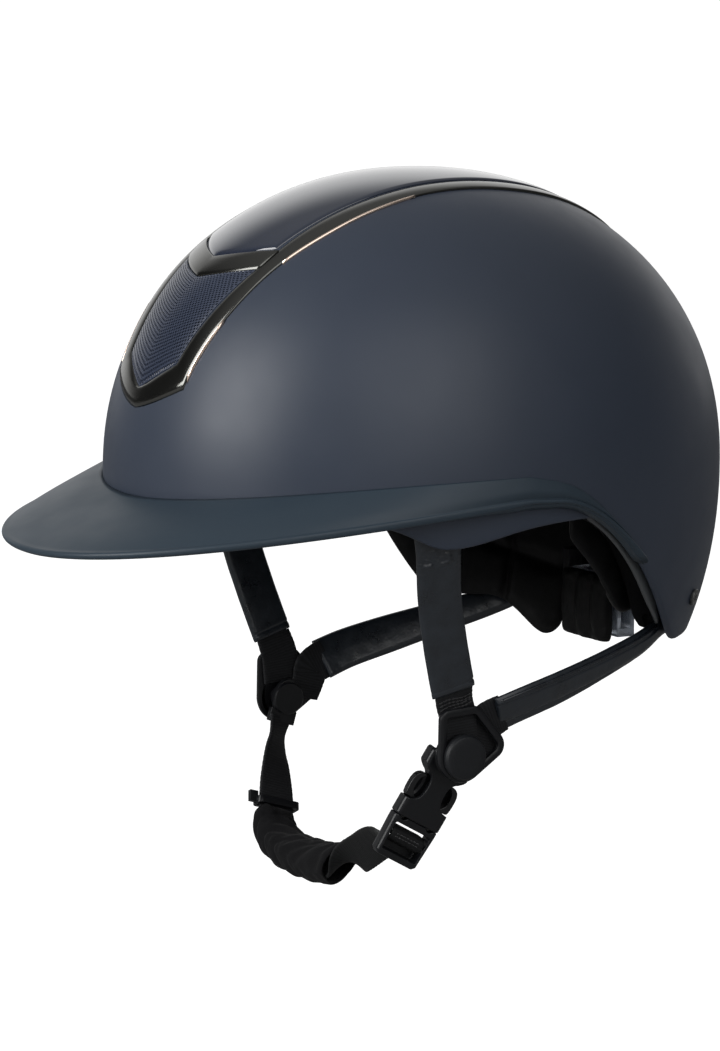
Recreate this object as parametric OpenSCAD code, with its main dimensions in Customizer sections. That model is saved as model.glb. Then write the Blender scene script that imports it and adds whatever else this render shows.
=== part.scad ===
/* [Shell] */
// Half width of the outer shell at its widest level
shell_half_w = 110; // [90:1:130]
// Reach of the shell ahead of the origin, at the brow
shell_front = 128; // [105:1:150]
// Reach of the shell behind the origin
shell_rear = 142; // [115:1:165]
// Height of the crown above the widest level
crown_h = 124; // [105:1:145]
// Depth at which the shell's lower curve would close
skirt_h = 156; // [140:1:180]
// Wall of the outer shell
shell_wall = 3; // [2:0.1:4]
// Height of the shell's edge at the brow
rim_front_z = -5; // [-9:0.5:-2]
// Height of the shell's edge at the nape
rim_nape_z = -73; // [-85:1:-66]
// Thickness of the impact liner
liner_wall = 15; // [12:0.5:20]
// Wall of the lower temple shell
lower_wall = 2; // [1.5:0.1:2.4]

/* [Brim] */
// Reach of the brim ahead of the shell
brim_reach = 47; // [30:1:60]
// Reach of the brim past the shell's sides
brim_side = 2.5; // [1.5:0.1:4]
// Height of the brim's tip
brim_tip_z = -23.5; // [-30:0.5:-15]
// Thickness of the brim
brim_wall = 4; // [3:0.1:6]

/* [Top trim] */
// Height of the frame above the shell
frame_h = 1.8; // [1:0.1:3]
// Height of the glossy panel above the shell
panel_h = 1.4; // [0.8:0.1:2.6]
// Width of the thin metal line round the frame
line_w = 1; // [0.5:0.1:1.5]

/* [Pads] */
// Thickness of the padding on the liner
pad_t = 7; // [4:0.5:9]

/* [Head size adjuster] */
// Pitch radius of the small gear behind the dial
gear_r = 5; // [4.5:0.5:5.5]
// Teeth of the small gear
gear_teeth = 10; // [8:1:12]
// Radius of the dial's knob
knob_r = 12; // [9:0.5:14]
// Travel of each nape arm
arm_travel = 6; // [2:0.5:7]

/* [Straps] */
// Width of the webbing
web_w = 17; // [14:0.5:18]
// Thickness of the webbing
web_t = 1.6; // [1:0.1:2]
// Edge of the leather covers beside the webbing
cover_edge = 1.25; // [1:0.25:2.5]
// Thickness of the leather covers
cover_t = 3.8; // [3:0.1:5]
// Diameter of the discs on the strap dividers
disc_d = 19; // [16:0.5:22]
// Radius of the pin behind each disc, on which the chin strap swings
hub_r = 5; // [4:0.25:6]

/* [Buckle and chin pad] */
// Side walls of the buckle beside the webbing
buckle_side = 2.5; // [2.25:0.25:4]
// Thickness of the buckle
buckle_t = 8; // [7.5:0.5:10]
// Length of the buckle's plug below the socket
plug_l = 18; // [16:0.5:22]
// Thickness of the chin pad across the chin
chin_pad_t = 16; // [13:0.5:20]
// Edge of the chin pad beside the webbing
chin_pad_edge = 2; // [1.5:0.25:4]

/* [Hidden] */

// Shape of the shell: powers of its plan and of its profile, and the backward lean of its top
plan_power = 2.05;
side_power = 2.1;
crown_lean = 4;
// Plan angles between which the edge drops behind the ear
ear_from = 95;
ear_to = 140;
// Clearances: between flat faces, between curved skins, beside the sliding arms, and of a pin in its hole
gap = 0.3;
skin_gap = 0.8;
slide_gap = 2;
pin_gap = 0.05;
// Steps round the shell and from its edge to its top
steps_a = 56;
steps_t = 11;

cover_w = web_w + 2 * cover_edge;
buckle_w = web_w + 2 * buckle_side;
chin_pad_w = web_w + 2 * chin_pad_edge;
liner_in = -(shell_wall + skin_gap + liner_wall);
lower_out = -(shell_wall + skin_gap);
liner_low = lower_out - lower_wall - skin_gap;

// Colours
navy = [0.17, 0.2, 0.27];
gloss_navy = [0.06, 0.08, 0.14];
gunmetal = [0.3, 0.3, 0.32];
champagne = [0.75, 0.66, 0.55];
black = [0.06, 0.06, 0.07];
leather = [0.1, 0.11, 0.13];
grey = [0.5, 0.52, 0.55];

// Curve helpers
function sgn_pow(v, e) = sign(v) * pow(abs(v), e);
function ease(v, a, b) = let (u = max(0, min(1, (v - a) / (b - a)))) u * u * (3 - 2 * u);
function bell(v, at, w) = exp(-pow((v - at) / w, 2));
function mix(p, q, u) = p * (1 - u) + q * u;
function mid(pts) = [for (k = [0:2]) [for (p = pts) 1] * [for (p = pts) p[k]] / len(pts)];
function unit(v) = v / norm(v);

// A point of the shell's surface: plan angle a from the brow (0) to the left ear (90) and the nape (180),
// rise t from the widest level (0) to the top (90), and distance off outside the surface
function on_shell(a, t, off = 0) =
    let (r = pow(abs(cos(t)), 2 / side_power),
        s = pow(abs(sin(t)), 2 / side_power),
        reach = cos(a) > 0 ? shell_front : shell_rear)
    [(shell_half_w + off) * sgn_pow(sin(a), 2 / plan_power) * r,
     -(reach + off) * sgn_pow(cos(a), 2 / plan_power) * r + (t > 0 ? crown_lean * s * s : 0),
     t > 0 ? (crown_h + off) * s : -(skirt_h + off) * s];
// The rise at which the surface has a given height
function rise(z, off = 0) = let (h = z > 0 ? crown_h : skirt_h)
    sign(z) * asin(pow(min(1, abs(z) / (h + off)), side_power / 2));
function on_level(a, z, off = 0) = on_shell(a, rise(z, off), off);
// The direction straight out of the surface
function outward(a, z) = unit(cross(on_level(a + 1, z) - on_level(a - 1, z),
    on_level(a, z + 1) - on_level(a, z - 1)));

// Height of the shell's edge, of the lower shell's edge and of the liner's edge
function rim_z(a) = rim_front_z + (rim_nape_z - rim_front_z) * ease(abs(a), ear_from, ear_to);
function low_z(a) = abs(a) < 75 ? rim_front_z - 5 - 11 * bell(abs(a), 75, 9)
    : rim_front_z - 7 - 9 * bell(abs(a), 75, 14);
function liner_z(a) = min(low_z(a) + 2, rim_z(a) + 4 + 10 * ease(abs(a), 148, 158));

// A solid skin over rings of points, closed at each end across the ring or by a fan, or run back to the first ring
function six_volumes(points, faces) = [for (f = faces) 1]
    * [for (f = faces) points[f[0]] * cross(points[f[1]], points[f[2]])];
module loft(rings, around = false, fan = false) {
    n = len(rings);
    m = len(rings[0]);
    points = concat([for (ring = rings) each ring], fan ? [mid(rings[0]), mid(rings[n - 1])] : []);
    sides = [for (i = [0:around ? n - 1 : n - 2], j = [0:m - 1])
        let (a = i * m, b = (i + 1) % n * m, k = (j + 1) % m)
        each [[a + j, a + k, b + j], [a + k, b + k, b + j]]];
    across = [for (j = [0:m / 2 - 2]) each [[j, m - 2 - j, j + 1], [j, m - 1 - j, m - 2 - j]]];
    first = fan ? [for (j = [0:m - 1]) [n * m, (j + 1) % m, j]] : across;
    end = (n - 1) * m;
    last = fan ? [for (j = [0:m - 1]) [n * m + 1, end + j, end + (j + 1) % m]]
        : [for (f = across) [end + f[2], end + f[1], end + f[0]]];
    faces = around ? sides : concat(sides, first, last);
    inside_out = six_volumes(points, faces) > 0;
    polyhedron(points, inside_out ? [for (f = faces) [f[2], f[1], f[0]]] : faces, convexity = 10);
}

// A dome between two distances from the shell's surface, from an edge line up
module dome(edge, out_off, in_off, n = steps_t, m = steps_a) {
    top = 86;
    ring = function (i, off_of) [for (j = [0:m - 1])
        let (a = j * 360 / m, aa = a > 180 ? a - 360 : a, z = edge(aa), off = off_of(z),
            t0 = rise(z, off), t = t0 + (top - t0) * pow(i / n, 0.9))
        on_shell(aa, t, off_of(t > 0 ? crown_h * pow(sin(t), 2 / side_power) : z))];
    loft(concat([for (i = [n:-1:0]) ring(i, in_off)], [for (i = [0:n]) ring(i, out_off)]), fan = true);
}

// A band on the shell's surface between two plan angles and two height lines, thinned at its border
module band(a0, a1, low, high, out_off, in_off, steps = 12, rows = 4, puff = 0) {
    thin = function (u) puff == 0 ? 1 : (1 - puff) + puff * pow(max(0, 1 - pow(abs(2 * u - 1), 3)), 0.6);
    loft([for (i = [0:steps]) let (a = mix(a0, a1, i / steps), z0 = low(a), z1 = high(a), w = thin(i / steps))
        concat([for (k = [0:rows]) on_level(a, mix(z0, z1, k / rows), out_off)],
            [for (k = [rows:-1:0]) on_level(a, mix(z0, z1, k / rows),
                out_off + (in_off - out_off) * w * thin(k / rows))])]);
}

// A strap swept along stations: each is a point, a width direction, a half width and a half thickness
function strap_ring(p, dir, w, n, t) = let (c = 0.35)
    [p + dir * w - n * t * c, p + dir * w + n * t * c, p + dir * (w - t * 0.6) + n * t,
     p - dir * (w - t * 0.6) + n * t, p - dir * w + n * t * c, p - dir * w - n * t * c,
     p - dir * (w - t * 0.6) - n * t, p + dir * (w - t * 0.6) - n * t];
function place(s) = [s[0], s[1], s[2]];
module strap(s) {
    n = len(s);
    loft([for (i = [0:n - 1])
        let (along = unit(place(s[min(n - 1, i + 1)]) - place(s[max(0, i - 1)])),
            side = [s[i][3], s[i][4], s[i][5]],
            dir = unit(side - along * (side * along)))
        strap_ring(place(s[i]), dir, s[i][6], cross(along, dir), s[i][7])]);
}
// Smooth stations between the chosen ones
function curve(s, n = 3) = concat([for (i = [0:len(s) - 2], k = [0:n - 1])
    let (u = k / n, p = s[max(0, i - 1)], q = s[i], r = s[i + 1], v = s[min(len(s) - 1, i + 2)])
    0.5 * (2 * q + (r - p) * u + (2 * p - 5 * q + 4 * r - v) * u * u + (3 * q - p - 3 * r + v) * u * u * u)],
    [s[len(s) - 1]]);

module both_sides() {
    children();
    mirror([1, 0, 0]) children();
}

// Outer shells

// The frame of the front grille: x across, y up the slope, z out of the shell
module grille_frame_of_reference() {
    translate([0, -0.836 * shell_front, 0.524 * crown_h]) rotate([57, 0, 0]) children();
}
module vent_slots(depth) {
    grille_frame_of_reference()
        for (x = [-14, 0, 14]) translate([x - 4.5, -11, -depth]) cube([9, 26, depth + 12]);
}
// Turns +Z to a direction
module aim(dir) rotate([0, acos(dir[2]), atan2(dir[1], dir[0])]) children();
screw_a = 140;
screw_z = -55;
screw_r = 1.8;
module screw_place() both_sides()
    translate(on_level(screw_a, screw_z)) aim(outward(screw_a, screw_z)) children();

module crown_shell() {
    color(navy) difference() {
        dome(function (a) rim_z(a), function (z) 0, function (z) -shell_wall);
        vent_slots(20);
        screw_place() translate([0, 0, -shell_wall - 2])
            cylinder(r = screw_r + 0.2, h = shell_wall + 4, $fn = 24);
    }
}

// Outline of the brim: a rounded half oval ahead of the ears, and the shell's edge behind them
brim_power = 2.2;
brim_end = 114;
brim_level = -2;
function root_z(a) = abs(a) < 90 ? rim_front_z + 0.8 + 11.9 * pow(abs(sin(a)), 1.6)
    : rim_z(a) + 12.7 * (brim_end - abs(a)) / (brim_end - 90);
function brim_tip(a) = let (front = abs(a) < 90)
    [(shell_half_w + brim_side) * sgn_pow(sin(a), 2 / (front ? brim_power : plan_power)),
     front ? -(shell_front + brim_reach) * pow(cos(a), 2 / brim_power)
           : (shell_rear + brim_side) * pow(-cos(a), 2 / plan_power),
     front ? brim_tip_z + (brim_level - brim_tip_z) * pow(1 - cos(a), 0.83)
           : rim_z(a) + (brim_level - rim_front_z) * (brim_end - abs(a)) / (brim_end - 90)];
module brim() {
    color(navy) loft([for (a = [-brim_end:4:brim_end])
        let (root = on_level(a, root_z(a), gap), edge = brim_tip(a),
            run = [edge[0] - root[0], edge[1] - root[1], 0], out = unit(run),
            lip = min(brim_wall, norm(run) * 0.9 + 0.4),
            seat_z = rim_z(a) - 0.4 - ease(abs(a), ear_from - 5, ear_from),
            seat = on_level(a, seat_z, gap), tuck = on_level(a, seat_z, -shell_wall + 0.2),
            under = on_level(a, min(seat_z - 1, edge[2] - lip * 0.4 + norm(run) * 0.25), -shell_wall + 0.2))
        [root, mix(root, edge, 0.35) + [0, 0, 0.6], mix(root, edge, 0.7) + [0, 0, 0.8],
         edge - out * lip * 0.3 + [0, 0, lip * 0.3], edge, edge - out * lip * 0.4 - [0, 0, lip * 0.5],
         mix(under, edge, 0.6) - [0, 0, lip * 0.45], [under[0], under[1], min(under[2], seat_z - 0.8)],
         tuck, seat]]);
}

module lower_shell() {
    color(navy) band(-100, 100, function (a) low_z(a), function (a) 6,
        lower_out, lower_out - lower_wall, steps = 52, rows = 3);
}
module ear_trim_left() {
    color(black) band(104, 133, function (a) rim_z(a) - 2.5, function (a) rim_z(a) + 7,
        lower_out - 0.7, lower_out - 2.3, steps = 14, rows = 2);
}
module ear_trim_right() mirror([1, 0, 0]) ear_trim_left();

// Places where the liner makes room for the straps' ends and for the dial
strap_a = 72.6;
dial_z = -66;
dial_y = on_level(180, dial_z, liner_in)[1] - 5.5;
module impact_liner() {
    color(black) difference() {
        dome(function (a) liner_z(a), function (z) mix(liner_low, lower_out, ease(z, 12, 30)),
            function (z) liner_in, n = 10, m = 52);
        vent_slots(60);
        both_sides() translate(on_level(strap_a, -11, -10)) rotate([0, 0, strap_a - 90])
            cube([12, 30, 30], center = true);
        both_sides() translate(on_level(screw_a, -60, -8)) rotate([0, 0, screw_a - 90])
            cube([18, 36, 44], center = true);
        translate([0, dial_y - 1, dial_z]) rotate([-90, 0, 0]) cylinder(r = knob_r + 4, h = 14, $fn = 48);
        translate([-knob_r - 4, dial_y - 1, dial_z - 20]) cube([2 * knob_r + 8, 14, 20]);
    }
}

// Trim on the crown: outlines seen from above, one half each, from the front to the rear, drawn for a shell
// of this half width and this reach ahead and behind, and scaled with it
drawn_for = [110, 128, 142];
function on_plan(p) = [p[0] * shell_half_w / drawn_for[0],
    p[1] * (p[1] < 0 ? shell_front / drawn_for[1] : shell_rear / drawn_for[2])];
frame_half = [[0, -123], [29, -115.5], [35, -98], [38.5, -76], [40.7, -55], [40, -30], [38, -10],
    [36, 8], [33, 34], [29, 52], [23, 70], [14, 92], [0, 116]];
inner_half = [[0, -120.5], [20.5, -115.5], [26.5, -99], [30.5, -80], [31, -55], [30.5, -30], [29, -12],
    [26.5, 8], [22.3, 34], [18.2, 51], [13.4, 68], [8, 86], [0, 103]];
// The shell's height over a place seen from above, at a distance off outside it
function plan_r(x, y, off) = let (reach = (y < 0 ? shell_front : shell_rear) + off)
    pow(pow(abs(x) / (shell_half_w + off), plan_power) + pow(abs(y) / reach, plan_power), 1 / plan_power);
function height(x, y, off, z = 0, n = 4) = n == 0 ? z
    : height(x, y, off, (crown_h + off) * pow(max(0, 1 - pow(plan_r(x, y - crown_lean * pow(z / crown_h, 2), off),
        side_power)), 1 / side_power), n - 1);
function over(p, off) = let (q = on_plan(p)) [q[0], q[1], height(q[0], q[1], off)];
function whole(half) = concat(half, [for (i = [len(half) - 2:-1:1]) [-half[i][0], half[i][1]]]);
// Points of an outline with each side cut into n
function cut(path, n, closed = true) = let (m = len(path))
    [for (i = [0:closed ? m - 1 : m - 2], k = [0:n - 1]) mix(path[i], path[(i + 1) % m], k / n)];
// A flat ring between two outlines, laid on the crown between two heights above the shell
module crown_ring(outer, inner, low, high) {
    loft([for (i = [0:len(outer) - 1])
        [over(outer[i], high), over(inner[i], high), over(inner[i], low), over(outer[i], low)]], around = true);
}
// A plate laid on the crown: rows of points across it, between two heights above the shell
module crown_plate(rows, low, high) {
    loft([for (row = rows) concat([for (p = row) over(p, high)],
        [for (i = [len(row) - 1:-1:0]) over(row[i], low)])]);
}
// The panel's front edge and the grille's top edge point forward, by these amounts
panel_nose = 14;
grille_nose = 11;
panel_front = -73;
grille_back = -83;
function swept_row(y, half_w, nose, n) =
    [for (k = [-n:n]) let (u = k / n) [u * half_w, y - nose * (1 - abs(u))]];
module grille_frame() {
    color(gunmetal) crown_ring(cut(whole(frame_half), 2), cut(whole(inner_half), 2), gap, frame_h);
}
module frame_crossbar() {
    color(gunmetal) crown_plate([for (s = [0:3]) let (v = 0.2 + s / 3 * (panel_front - grille_back - 0.4))
        swept_row(grille_back + v, 29 + s * 0.3, mix(grille_nose, panel_nose, s / 3), 5)],
        gap, frame_h);
}
panel_half = [[30.1, panel_front], [30.8, -55], [30.3, -30], [28.8, -12], [26.3, 8], [22.1, 34],
    [18, 51], [13.2, 68], [7.8, 86], [1, 101.5]];
module top_panel() {
    rows = cut(panel_half, 2, closed = false);
    color(gloss_navy) crown_plate([for (p = rows)
        swept_row(p[1], p[0] - gap, panel_nose * max(0, 1 - (p[1] - panel_front) / 36), 5)], gap, panel_h);
}
module accent_line() {
    line = cut(whole(frame_half), 2);
    m = len(line);
    out = function (i, d) let (t = unit(line[(i + 1) % m] - line[(i + m - 1) % m])) line[i] + d * [t[1], -t[0]];
    color(champagne) crown_ring([for (i = [0:m - 1]) out(i, line_w + 0.1)], [for (i = [0:m - 1]) out(i, 0.1)],
        gap, frame_h * 0.6);
}
// The grille is a curved net of square holes, from the frame's lower edge to its crossbar
net_across = 11;
net_up = 7;
net_bar = 0.28;
function net_at(u, v) = let (w = mix(20.2, 29.8, v), y = mix(-115.2, grille_back - 2 * gap, v))
    [(2 * u - 1) * w, y - mix(5, grille_nose, v) * (1 - abs(2 * u - 1))];
module vent_grille() {
    nu = net_across;
    nv = net_up;
    high = gap + 0.7;
    // The corners of each cell and of its hole, above and below
    corner = function (i, j, off) over(net_at(i / nu, j / nv), off);
    hole = function (i, j, k, off) let (du = k == 0 || k == 3 ? net_bar : 1 - net_bar,
        dv = k < 2 ? net_bar : 1 - net_bar) over(net_at((i + du) / nu, (j + dv) / nv), off);
    grid = [for (off = [high, gap], j = [0:nv], i = [0:nu]) corner(i, j, off)];
    holes = [for (off = [high, gap], j = [0:nv - 1], i = [0:nu - 1], k = [0:3]) hole(i, j, k, off)];
    n_grid = (nu + 1) * (nv + 1);
    n_hole = nu * nv * 4;
    g = function (i, j, side) side * n_grid + j * (nu + 1) + i;
    h = function (i, j, k, side) 2 * n_grid + side * n_hole + (j * nu + i) * 4 + k % 4;
    c = function (i, j, k, side) let (q = k % 4) g(i + (q == 1 || q == 2 ? 1 : 0), j + (q > 1 ? 1 : 0), side);
    cells = [for (j = [0:nv - 1], i = [0:nu - 1], k = [0:3]) each [
        [c(i, j, k, 0), h(i, j, k + 1, 0), c(i, j, k + 1, 0)], [c(i, j, k, 0), h(i, j, k, 0), h(i, j, k + 1, 0)],
        [c(i, j, k, 1), c(i, j, k + 1, 1), h(i, j, k + 1, 1)], [c(i, j, k, 1), h(i, j, k + 1, 1), h(i, j, k, 1)],
        [h(i, j, k, 0), h(i, j, k, 1), h(i, j, k + 1, 1)], [h(i, j, k, 0), h(i, j, k + 1, 1), h(i, j, k + 1, 0)]]];
    border = concat([for (i = [0:nu - 1]) each [[i, 0, i + 1, 0], [i + 1, nv, i, nv]]],
        [for (j = [0:nv - 1]) each [[nu, j, nu, j + 1], [0, j + 1, 0, j]]]);
    walls = [for (b = border) each [[g(b[0], b[1], 0), g(b[2], b[3], 0), g(b[2], b[3], 1)],
        [g(b[0], b[1], 0), g(b[2], b[3], 1), g(b[0], b[1], 1)]]];
    color(gloss_navy) polyhedron(concat(grid, holes), concat(cells, walls), convexity = 10);
}
module rear_screws() {
    color(gunmetal) screw_place() {
        translate([0, 0, 0.1]) difference() {
            cylinder(r = 2 * screw_r, h = 1.4, $fn = 32);
            translate([0, 0, 0.7]) cylinder(r = screw_r * 0.8, h = 1, $fn = 6);
        }
        translate([0, 0, -shell_wall - 0.8]) cylinder(r = screw_r, h = shell_wall + 0.9, $fn = 24);
    }
}
module front_anchors() {
    color(grey) both_sides() translate(on_level(strap_a, 0.4, -9.5)) rotate([0, 0, strap_a - 90])
        cube([5, 24, 6], center = true);
}

// Comfort padding

pad_out = liner_in - 1.5 * skin_gap;
module crown_pad() {
    low = 68;
    color(black) dome(function (a) low, function (z) pad_out,
        function (z) pad_out - pad_t * (0.35 + 0.65 * ease(z, low, low + 12)), n = 4, m = 36);
}
module brow_pad() {
    color(black) band(-58, 58, function (a) -6, function (a) 24, pad_out, pad_out - pad_t, 24, 6, puff = 0.65);
}
module temple_pad_left() {
    color(black) band(62, 100, function (a) liner_z(a) + 1, function (a) 22,
        pad_out, pad_out - pad_t, 12, 6, puff = 0.65);
}
module temple_pad_right() mirror([1, 0, 0]) temple_pad_left();

// Head size adjuster at the nape: a dial turns a small gear, which pulls both arms round the nape

arm_t = 1.6;
arm_out = liner_in - slide_gap;
nape_from = 106;
function nape_z(a) = -20 - 44 * ease(a, nape_from - 1, ear_to);
module nape_pad_left() {
    color(black) band(nape_from, 152, function (a) nape_z(a), function (a) nape_z(a) + 36,
        arm_out - arm_t - 0.2, arm_out - arm_t - pad_t + 1.3, 16, 8, puff = 0.65);
}
module nape_pad_right() mirror([1, 0, 0]) nape_pad_left();

rack_y = dial_y - 4.4;
rack_t = 4;
tooth_pitch = 2 * PI * gear_r / gear_teeth;
tooth_up = 0.8;
tooth_down = 1.0;
rack_back = 3;
arm_end = 160;
link_w = 5;
link_x = on_level(arm_end, -47, arm_out)[0] - 3.7;
// Reach of each rack past the gear, which it keeps at the end of its travel
rack_end = arm_travel + 3;
module rack_teeth(from, to) {
    for (k = [ceil(from / tooth_pitch):floor(to / tooth_pitch)])
        translate([(k + 0.5) * tooth_pitch, 0]) polygon([[-0.3 * tooth_pitch, tooth_down + 0.1],
            [-0.12 * tooth_pitch, -tooth_up], [0.12 * tooth_pitch, -tooth_up],
            [0.3 * tooth_pitch, tooth_down + 0.1]]);
}
// The left arm's rack runs above the gear, with its teeth down, and shift moves them by part of a pitch
module rack(shift) {
    translate([0, rack_y + rack_t / 2, gear_r]) rotate([90, 0, 0]) linear_extrude(rack_t) {
        translate([shift, 0]) rack_teeth(1 - rack_end - shift, link_x);
        translate([-rack_end, tooth_down]) square([link_x + rack_end, rack_back]);
    }
}
module arm_shape() {
    band(nape_from + 2, arm_end, function (a) max(nape_z(a), -64) + 6, function (a) nape_z(a) + 18,
        arm_out, arm_out - arm_t, 18, 2);
}
// Link from the rack's end to the arm: low and high are its lower and upper faces
module link(low, high) translate([link_x, rack_y - rack_t / 2, low]) cube([link_w, 6.8, high - low]);
module nape_arm_left() {
    color(black) {
        arm_shape();
        translate([0, 0, dial_z]) rack(0);
        link(dial_z + gear_r + tooth_down, -47);
    }
}
module nape_arm_right() {
    color(black) mirror([1, 0, 0]) {
        arm_shape();
        translate([0, 0, dial_z]) mirror([0, 0, 1]) rack(gear_teeth % 2 * tooth_pitch / 2);
        link(dial_z - gear_r - tooth_down - rack_back, -47);
    }
}
shaft_r = 2.5;
housing_w = 38;
housing_h = 2 * (gear_r + tooth_down + rack_back) + 8;
module dial_housing() {
    color(grey) difference() {
        translate([-housing_w / 2, rack_y - 4, dial_z - housing_h / 2])
            cube([housing_w, dial_y - rack_y + 4, housing_h]);
        translate([-housing_w / 2 - 1, rack_y - rack_t / 2 - 0.3, dial_z - housing_h / 2 + 3.6])
            cube([housing_w + 2, rack_t + 0.6, housing_h - 7.2]);
        translate([0, rack_y - 3, dial_z]) rotate([-90, 0, 0])
            cylinder(r = shaft_r + pin_gap, h = 20, $fn = 48);
    }
}
module dial_gear() {
    color(black) translate([0, rack_y, dial_z]) {
        rotate([90, 0, 0]) translate([0, 0, -rack_t / 2]) linear_extrude(rack_t) {
            circle(r = gear_r - tooth_down, $fn = 48);
            for (k = [0:gear_teeth - 1]) rotate([0, 0, 90 + k * 360 / gear_teeth])
                polygon([[gear_r - tooth_down - 0.3, -0.27 * tooth_pitch], [gear_r + tooth_up, -0.1 * tooth_pitch],
                    [gear_r + tooth_up, 0.1 * tooth_pitch], [gear_r - tooth_down - 0.3, 0.27 * tooth_pitch]]);
        }
        translate([0, -2.9, 0]) rotate([-90, 0, 0])
            cylinder(r = shaft_r, h = dial_y - rack_y + 3.3, $fn = 48);
    }
}
module dial_knob() {
    color(black) translate([0, dial_y + 0.4, dial_z]) rotate([-90, 0, 0]) difference() {
        union() {
            cylinder(r = knob_r, h = 6, $fn = 64);
            cylinder(r = knob_r - 2.5, h = 7.5, $fn = 64);
        }
        for (k = [0:15]) rotate([0, 0, k * 22.5]) translate([knob_r + 0.6, 0, -1])
            cylinder(r = 1.4, h = 8, $fn = 16);
    }
}
module cradle_spine() {
    top = dial_z + housing_h / 2;
    color(black) {
        band(173, 187, function (a) top + 0.4, function (a) -20, liner_in - 2.2 * skin_gap, liner_in - 3.4, 4, 5);
        translate([-7, dial_y - 6, top + 0.2]) cube([14, on_level(180, top, liner_in)[1] - dial_y + 5, 3]);
    }
}
// A stuffed block: length along X, depth along Y, height along Z
module pillow(l, d, h) {
    n = 10;
    loft([for (i = [0:n]) let (u = 2 * i / n - 1, s = 0.45 + 0.55 * pow(max(0, 1 - pow(abs(u), 4)), 0.5))
        [for (k = [0:15]) let (c = cos(k * 22.5), e = sin(k * 22.5))
            [u * l / 2, sgn_pow(c, 0.6) * d / 2 * s, sgn_pow(e, 0.6) * h / 2 * (0.85 + 0.15 * s)]]]);
}
module nape_center_pad() {
    color(black) translate([0, rack_y - 8, dial_z + 1]) pillow(housing_w - 6, 7, housing_h - 2);
}

// Straps and their dividers

hub = [0, -15.5, -110.6];
// The divider's ring stands this far inside the shell's side, and the chin strap's eye inside the ring
ring_x = shell_half_w - 30;
ring_t = 2.6;
eye_x = ring_x - 6.5;
eye_t = 2.7;
eye_r = hub_r + 3.5;
front_web_x = ring_x - web_t / 2 - 0.3;
rear_web_x = front_web_x - web_t - 0.2;
cw = cover_w / 2;
ct = cover_t / 2;
ww = web_w / 2;
wt = web_t / 2;
front_dir = [0.12, 0.96, 0.22];
top_dir = [0.2, 0.95, 0.2];
// The leather cover on the left front strap, from inside the shell down to the stitched webbing
front_path = concat([on_level(strap_a, -8, -11), on_level(strap_a + 1, -22, -11.7)],
    [for (p = [[9, -30.5, -42], [4.5, -25, -64], [0.7, -19.2, -83.5]]) [ring_x + p[0], p[1], p[2]]]);
module front_cover_left() {
    color(leather) strap(curve([for (p = front_path)
        concat(p, p[2] > -30 ? top_dir : front_dir, [cw, ct])]));
}
module front_cover_right() mirror([1, 0, 0]) front_cover_left();
module front_webbing_left() {
    color(black) strap([for (p = [[ring_x + 0.6, -19.1, -83.8, 0.12], [front_web_x + 0.2, -17.9, -88, 0.03],
        [front_web_x, -16.6, -93, 0], [front_web_x, -15.6, hub[2] + hub_r + 2, 0]])
        [p[0], p[1], p[2], p[3], front_dir[1], front_dir[2], ww, wt]]);
}
module front_webbing_right() mirror([1, 0, 0]) front_webbing_left();

// The rear strap narrows towards the nape, where its end is screwed to the shell
rear_dir = [0.42, -0.25, 0.88];
rear_start = [ring_x - 2.8, 3, -95.6];
rear_end = on_level(screw_a, -62, -shell_wall - 5);
// Along the way from start to end: share of the way, bow outwards and down, half width, half thickness
rear_path = [[0, 0, 0, cw - 0.7, ct], [0.14, 2.7, -0.6, cw - 1, 2.3], [0.35, 3.9, -2.6, 8.3, 2.6],
    [0.59, 2.8, -4.6, 7.2, 2.8], [0.83, 0.2, -6.1, 6.2, 2.8], [0.95, -1.8, -4.9, 6, 2.3]];
module rear_strap_left() {
    // Its tail rises behind the screw, flat against the liner
    tail = [for (z = [-62, -52]) concat(on_level(screw_a, z, -shell_wall - 4 + (z + 52) * 0.1),
        [-0.7, 0.6, 0.3], [6, 1.8])];
    color(leather) strap(curve(concat([for (p = rear_path)
        concat(mix(rear_start, rear_end, p[0]) + [p[1], 0, p[2]], rear_dir, [p[3], p[4]])], tail)));
    color(black) strap([for (p = [[ring_x - 2.7, 6, -94.7, 0.2], [rear_web_x, -2, -97.2, 0],
            [rear_web_x, -7, -98.6, 0]])
        concat(p, [-0.27, 0.94], [ww, wt])]);
}
module rear_strap_right() mirror([1, 0, 0]) rear_strap_left();

// Draws a flat shape whose x and y are the helmet's Y and Z, from x0 towards the left
module side_plate(x0, t) translate([x0, 0, 0]) rotate([90, 0, 90]) linear_extrude(t) children();
module ring_outline() hull() {
    translate([-22.8, -94]) circle(r = 3.2, $fn = 32);
    translate([-9.5, -94.2]) circle(r = 4.2, $fn = 32);
    translate([0, -107.3]) circle(r = 4.2, $fn = 32);
    translate([hub[1], hub[2]]) circle(r = disc_d / 2 + 1.5, $fn = 48);
}
module disc(r, x0, t) translate([x0, 0, 0]) rotate([0, 90, 0]) cylinder(r = r, h = t, $fn = 64);
module on_hub(x0, r, t) translate(hub) disc(r, x0, t);
module divider_left() {
    color(black) {
        side_plate(ring_x, ring_t) difference() {
            ring_outline();
            difference() {
                offset(delta = -2.4) ring_outline();
                translate([hub[1], hub[2]]) circle(r = disc_d / 2 - 0.3, $fn = 48);
            }
        }
        on_hub(eye_x - 0.4, hub_r, ring_x - eye_x + 0.6);
        on_hub(eye_x - 1.8, hub_r + 2, 1.5);
    }
}
module divider_right() mirror([1, 0, 0]) divider_left();
module divider_disc_left() {
    color(black) {
        on_hub(ring_x + ring_t + 0.1, disc_d / 2, 2.6);
        on_hub(ring_x + ring_t + 2.5, disc_d / 2 - 0.8, 0.9);
    }
}
module divider_disc_right() mirror([1, 0, 0]) divider_disc_left();

// Chin strap, drawn in its own leaning plane through both hubs: x across, z up the plane

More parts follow.
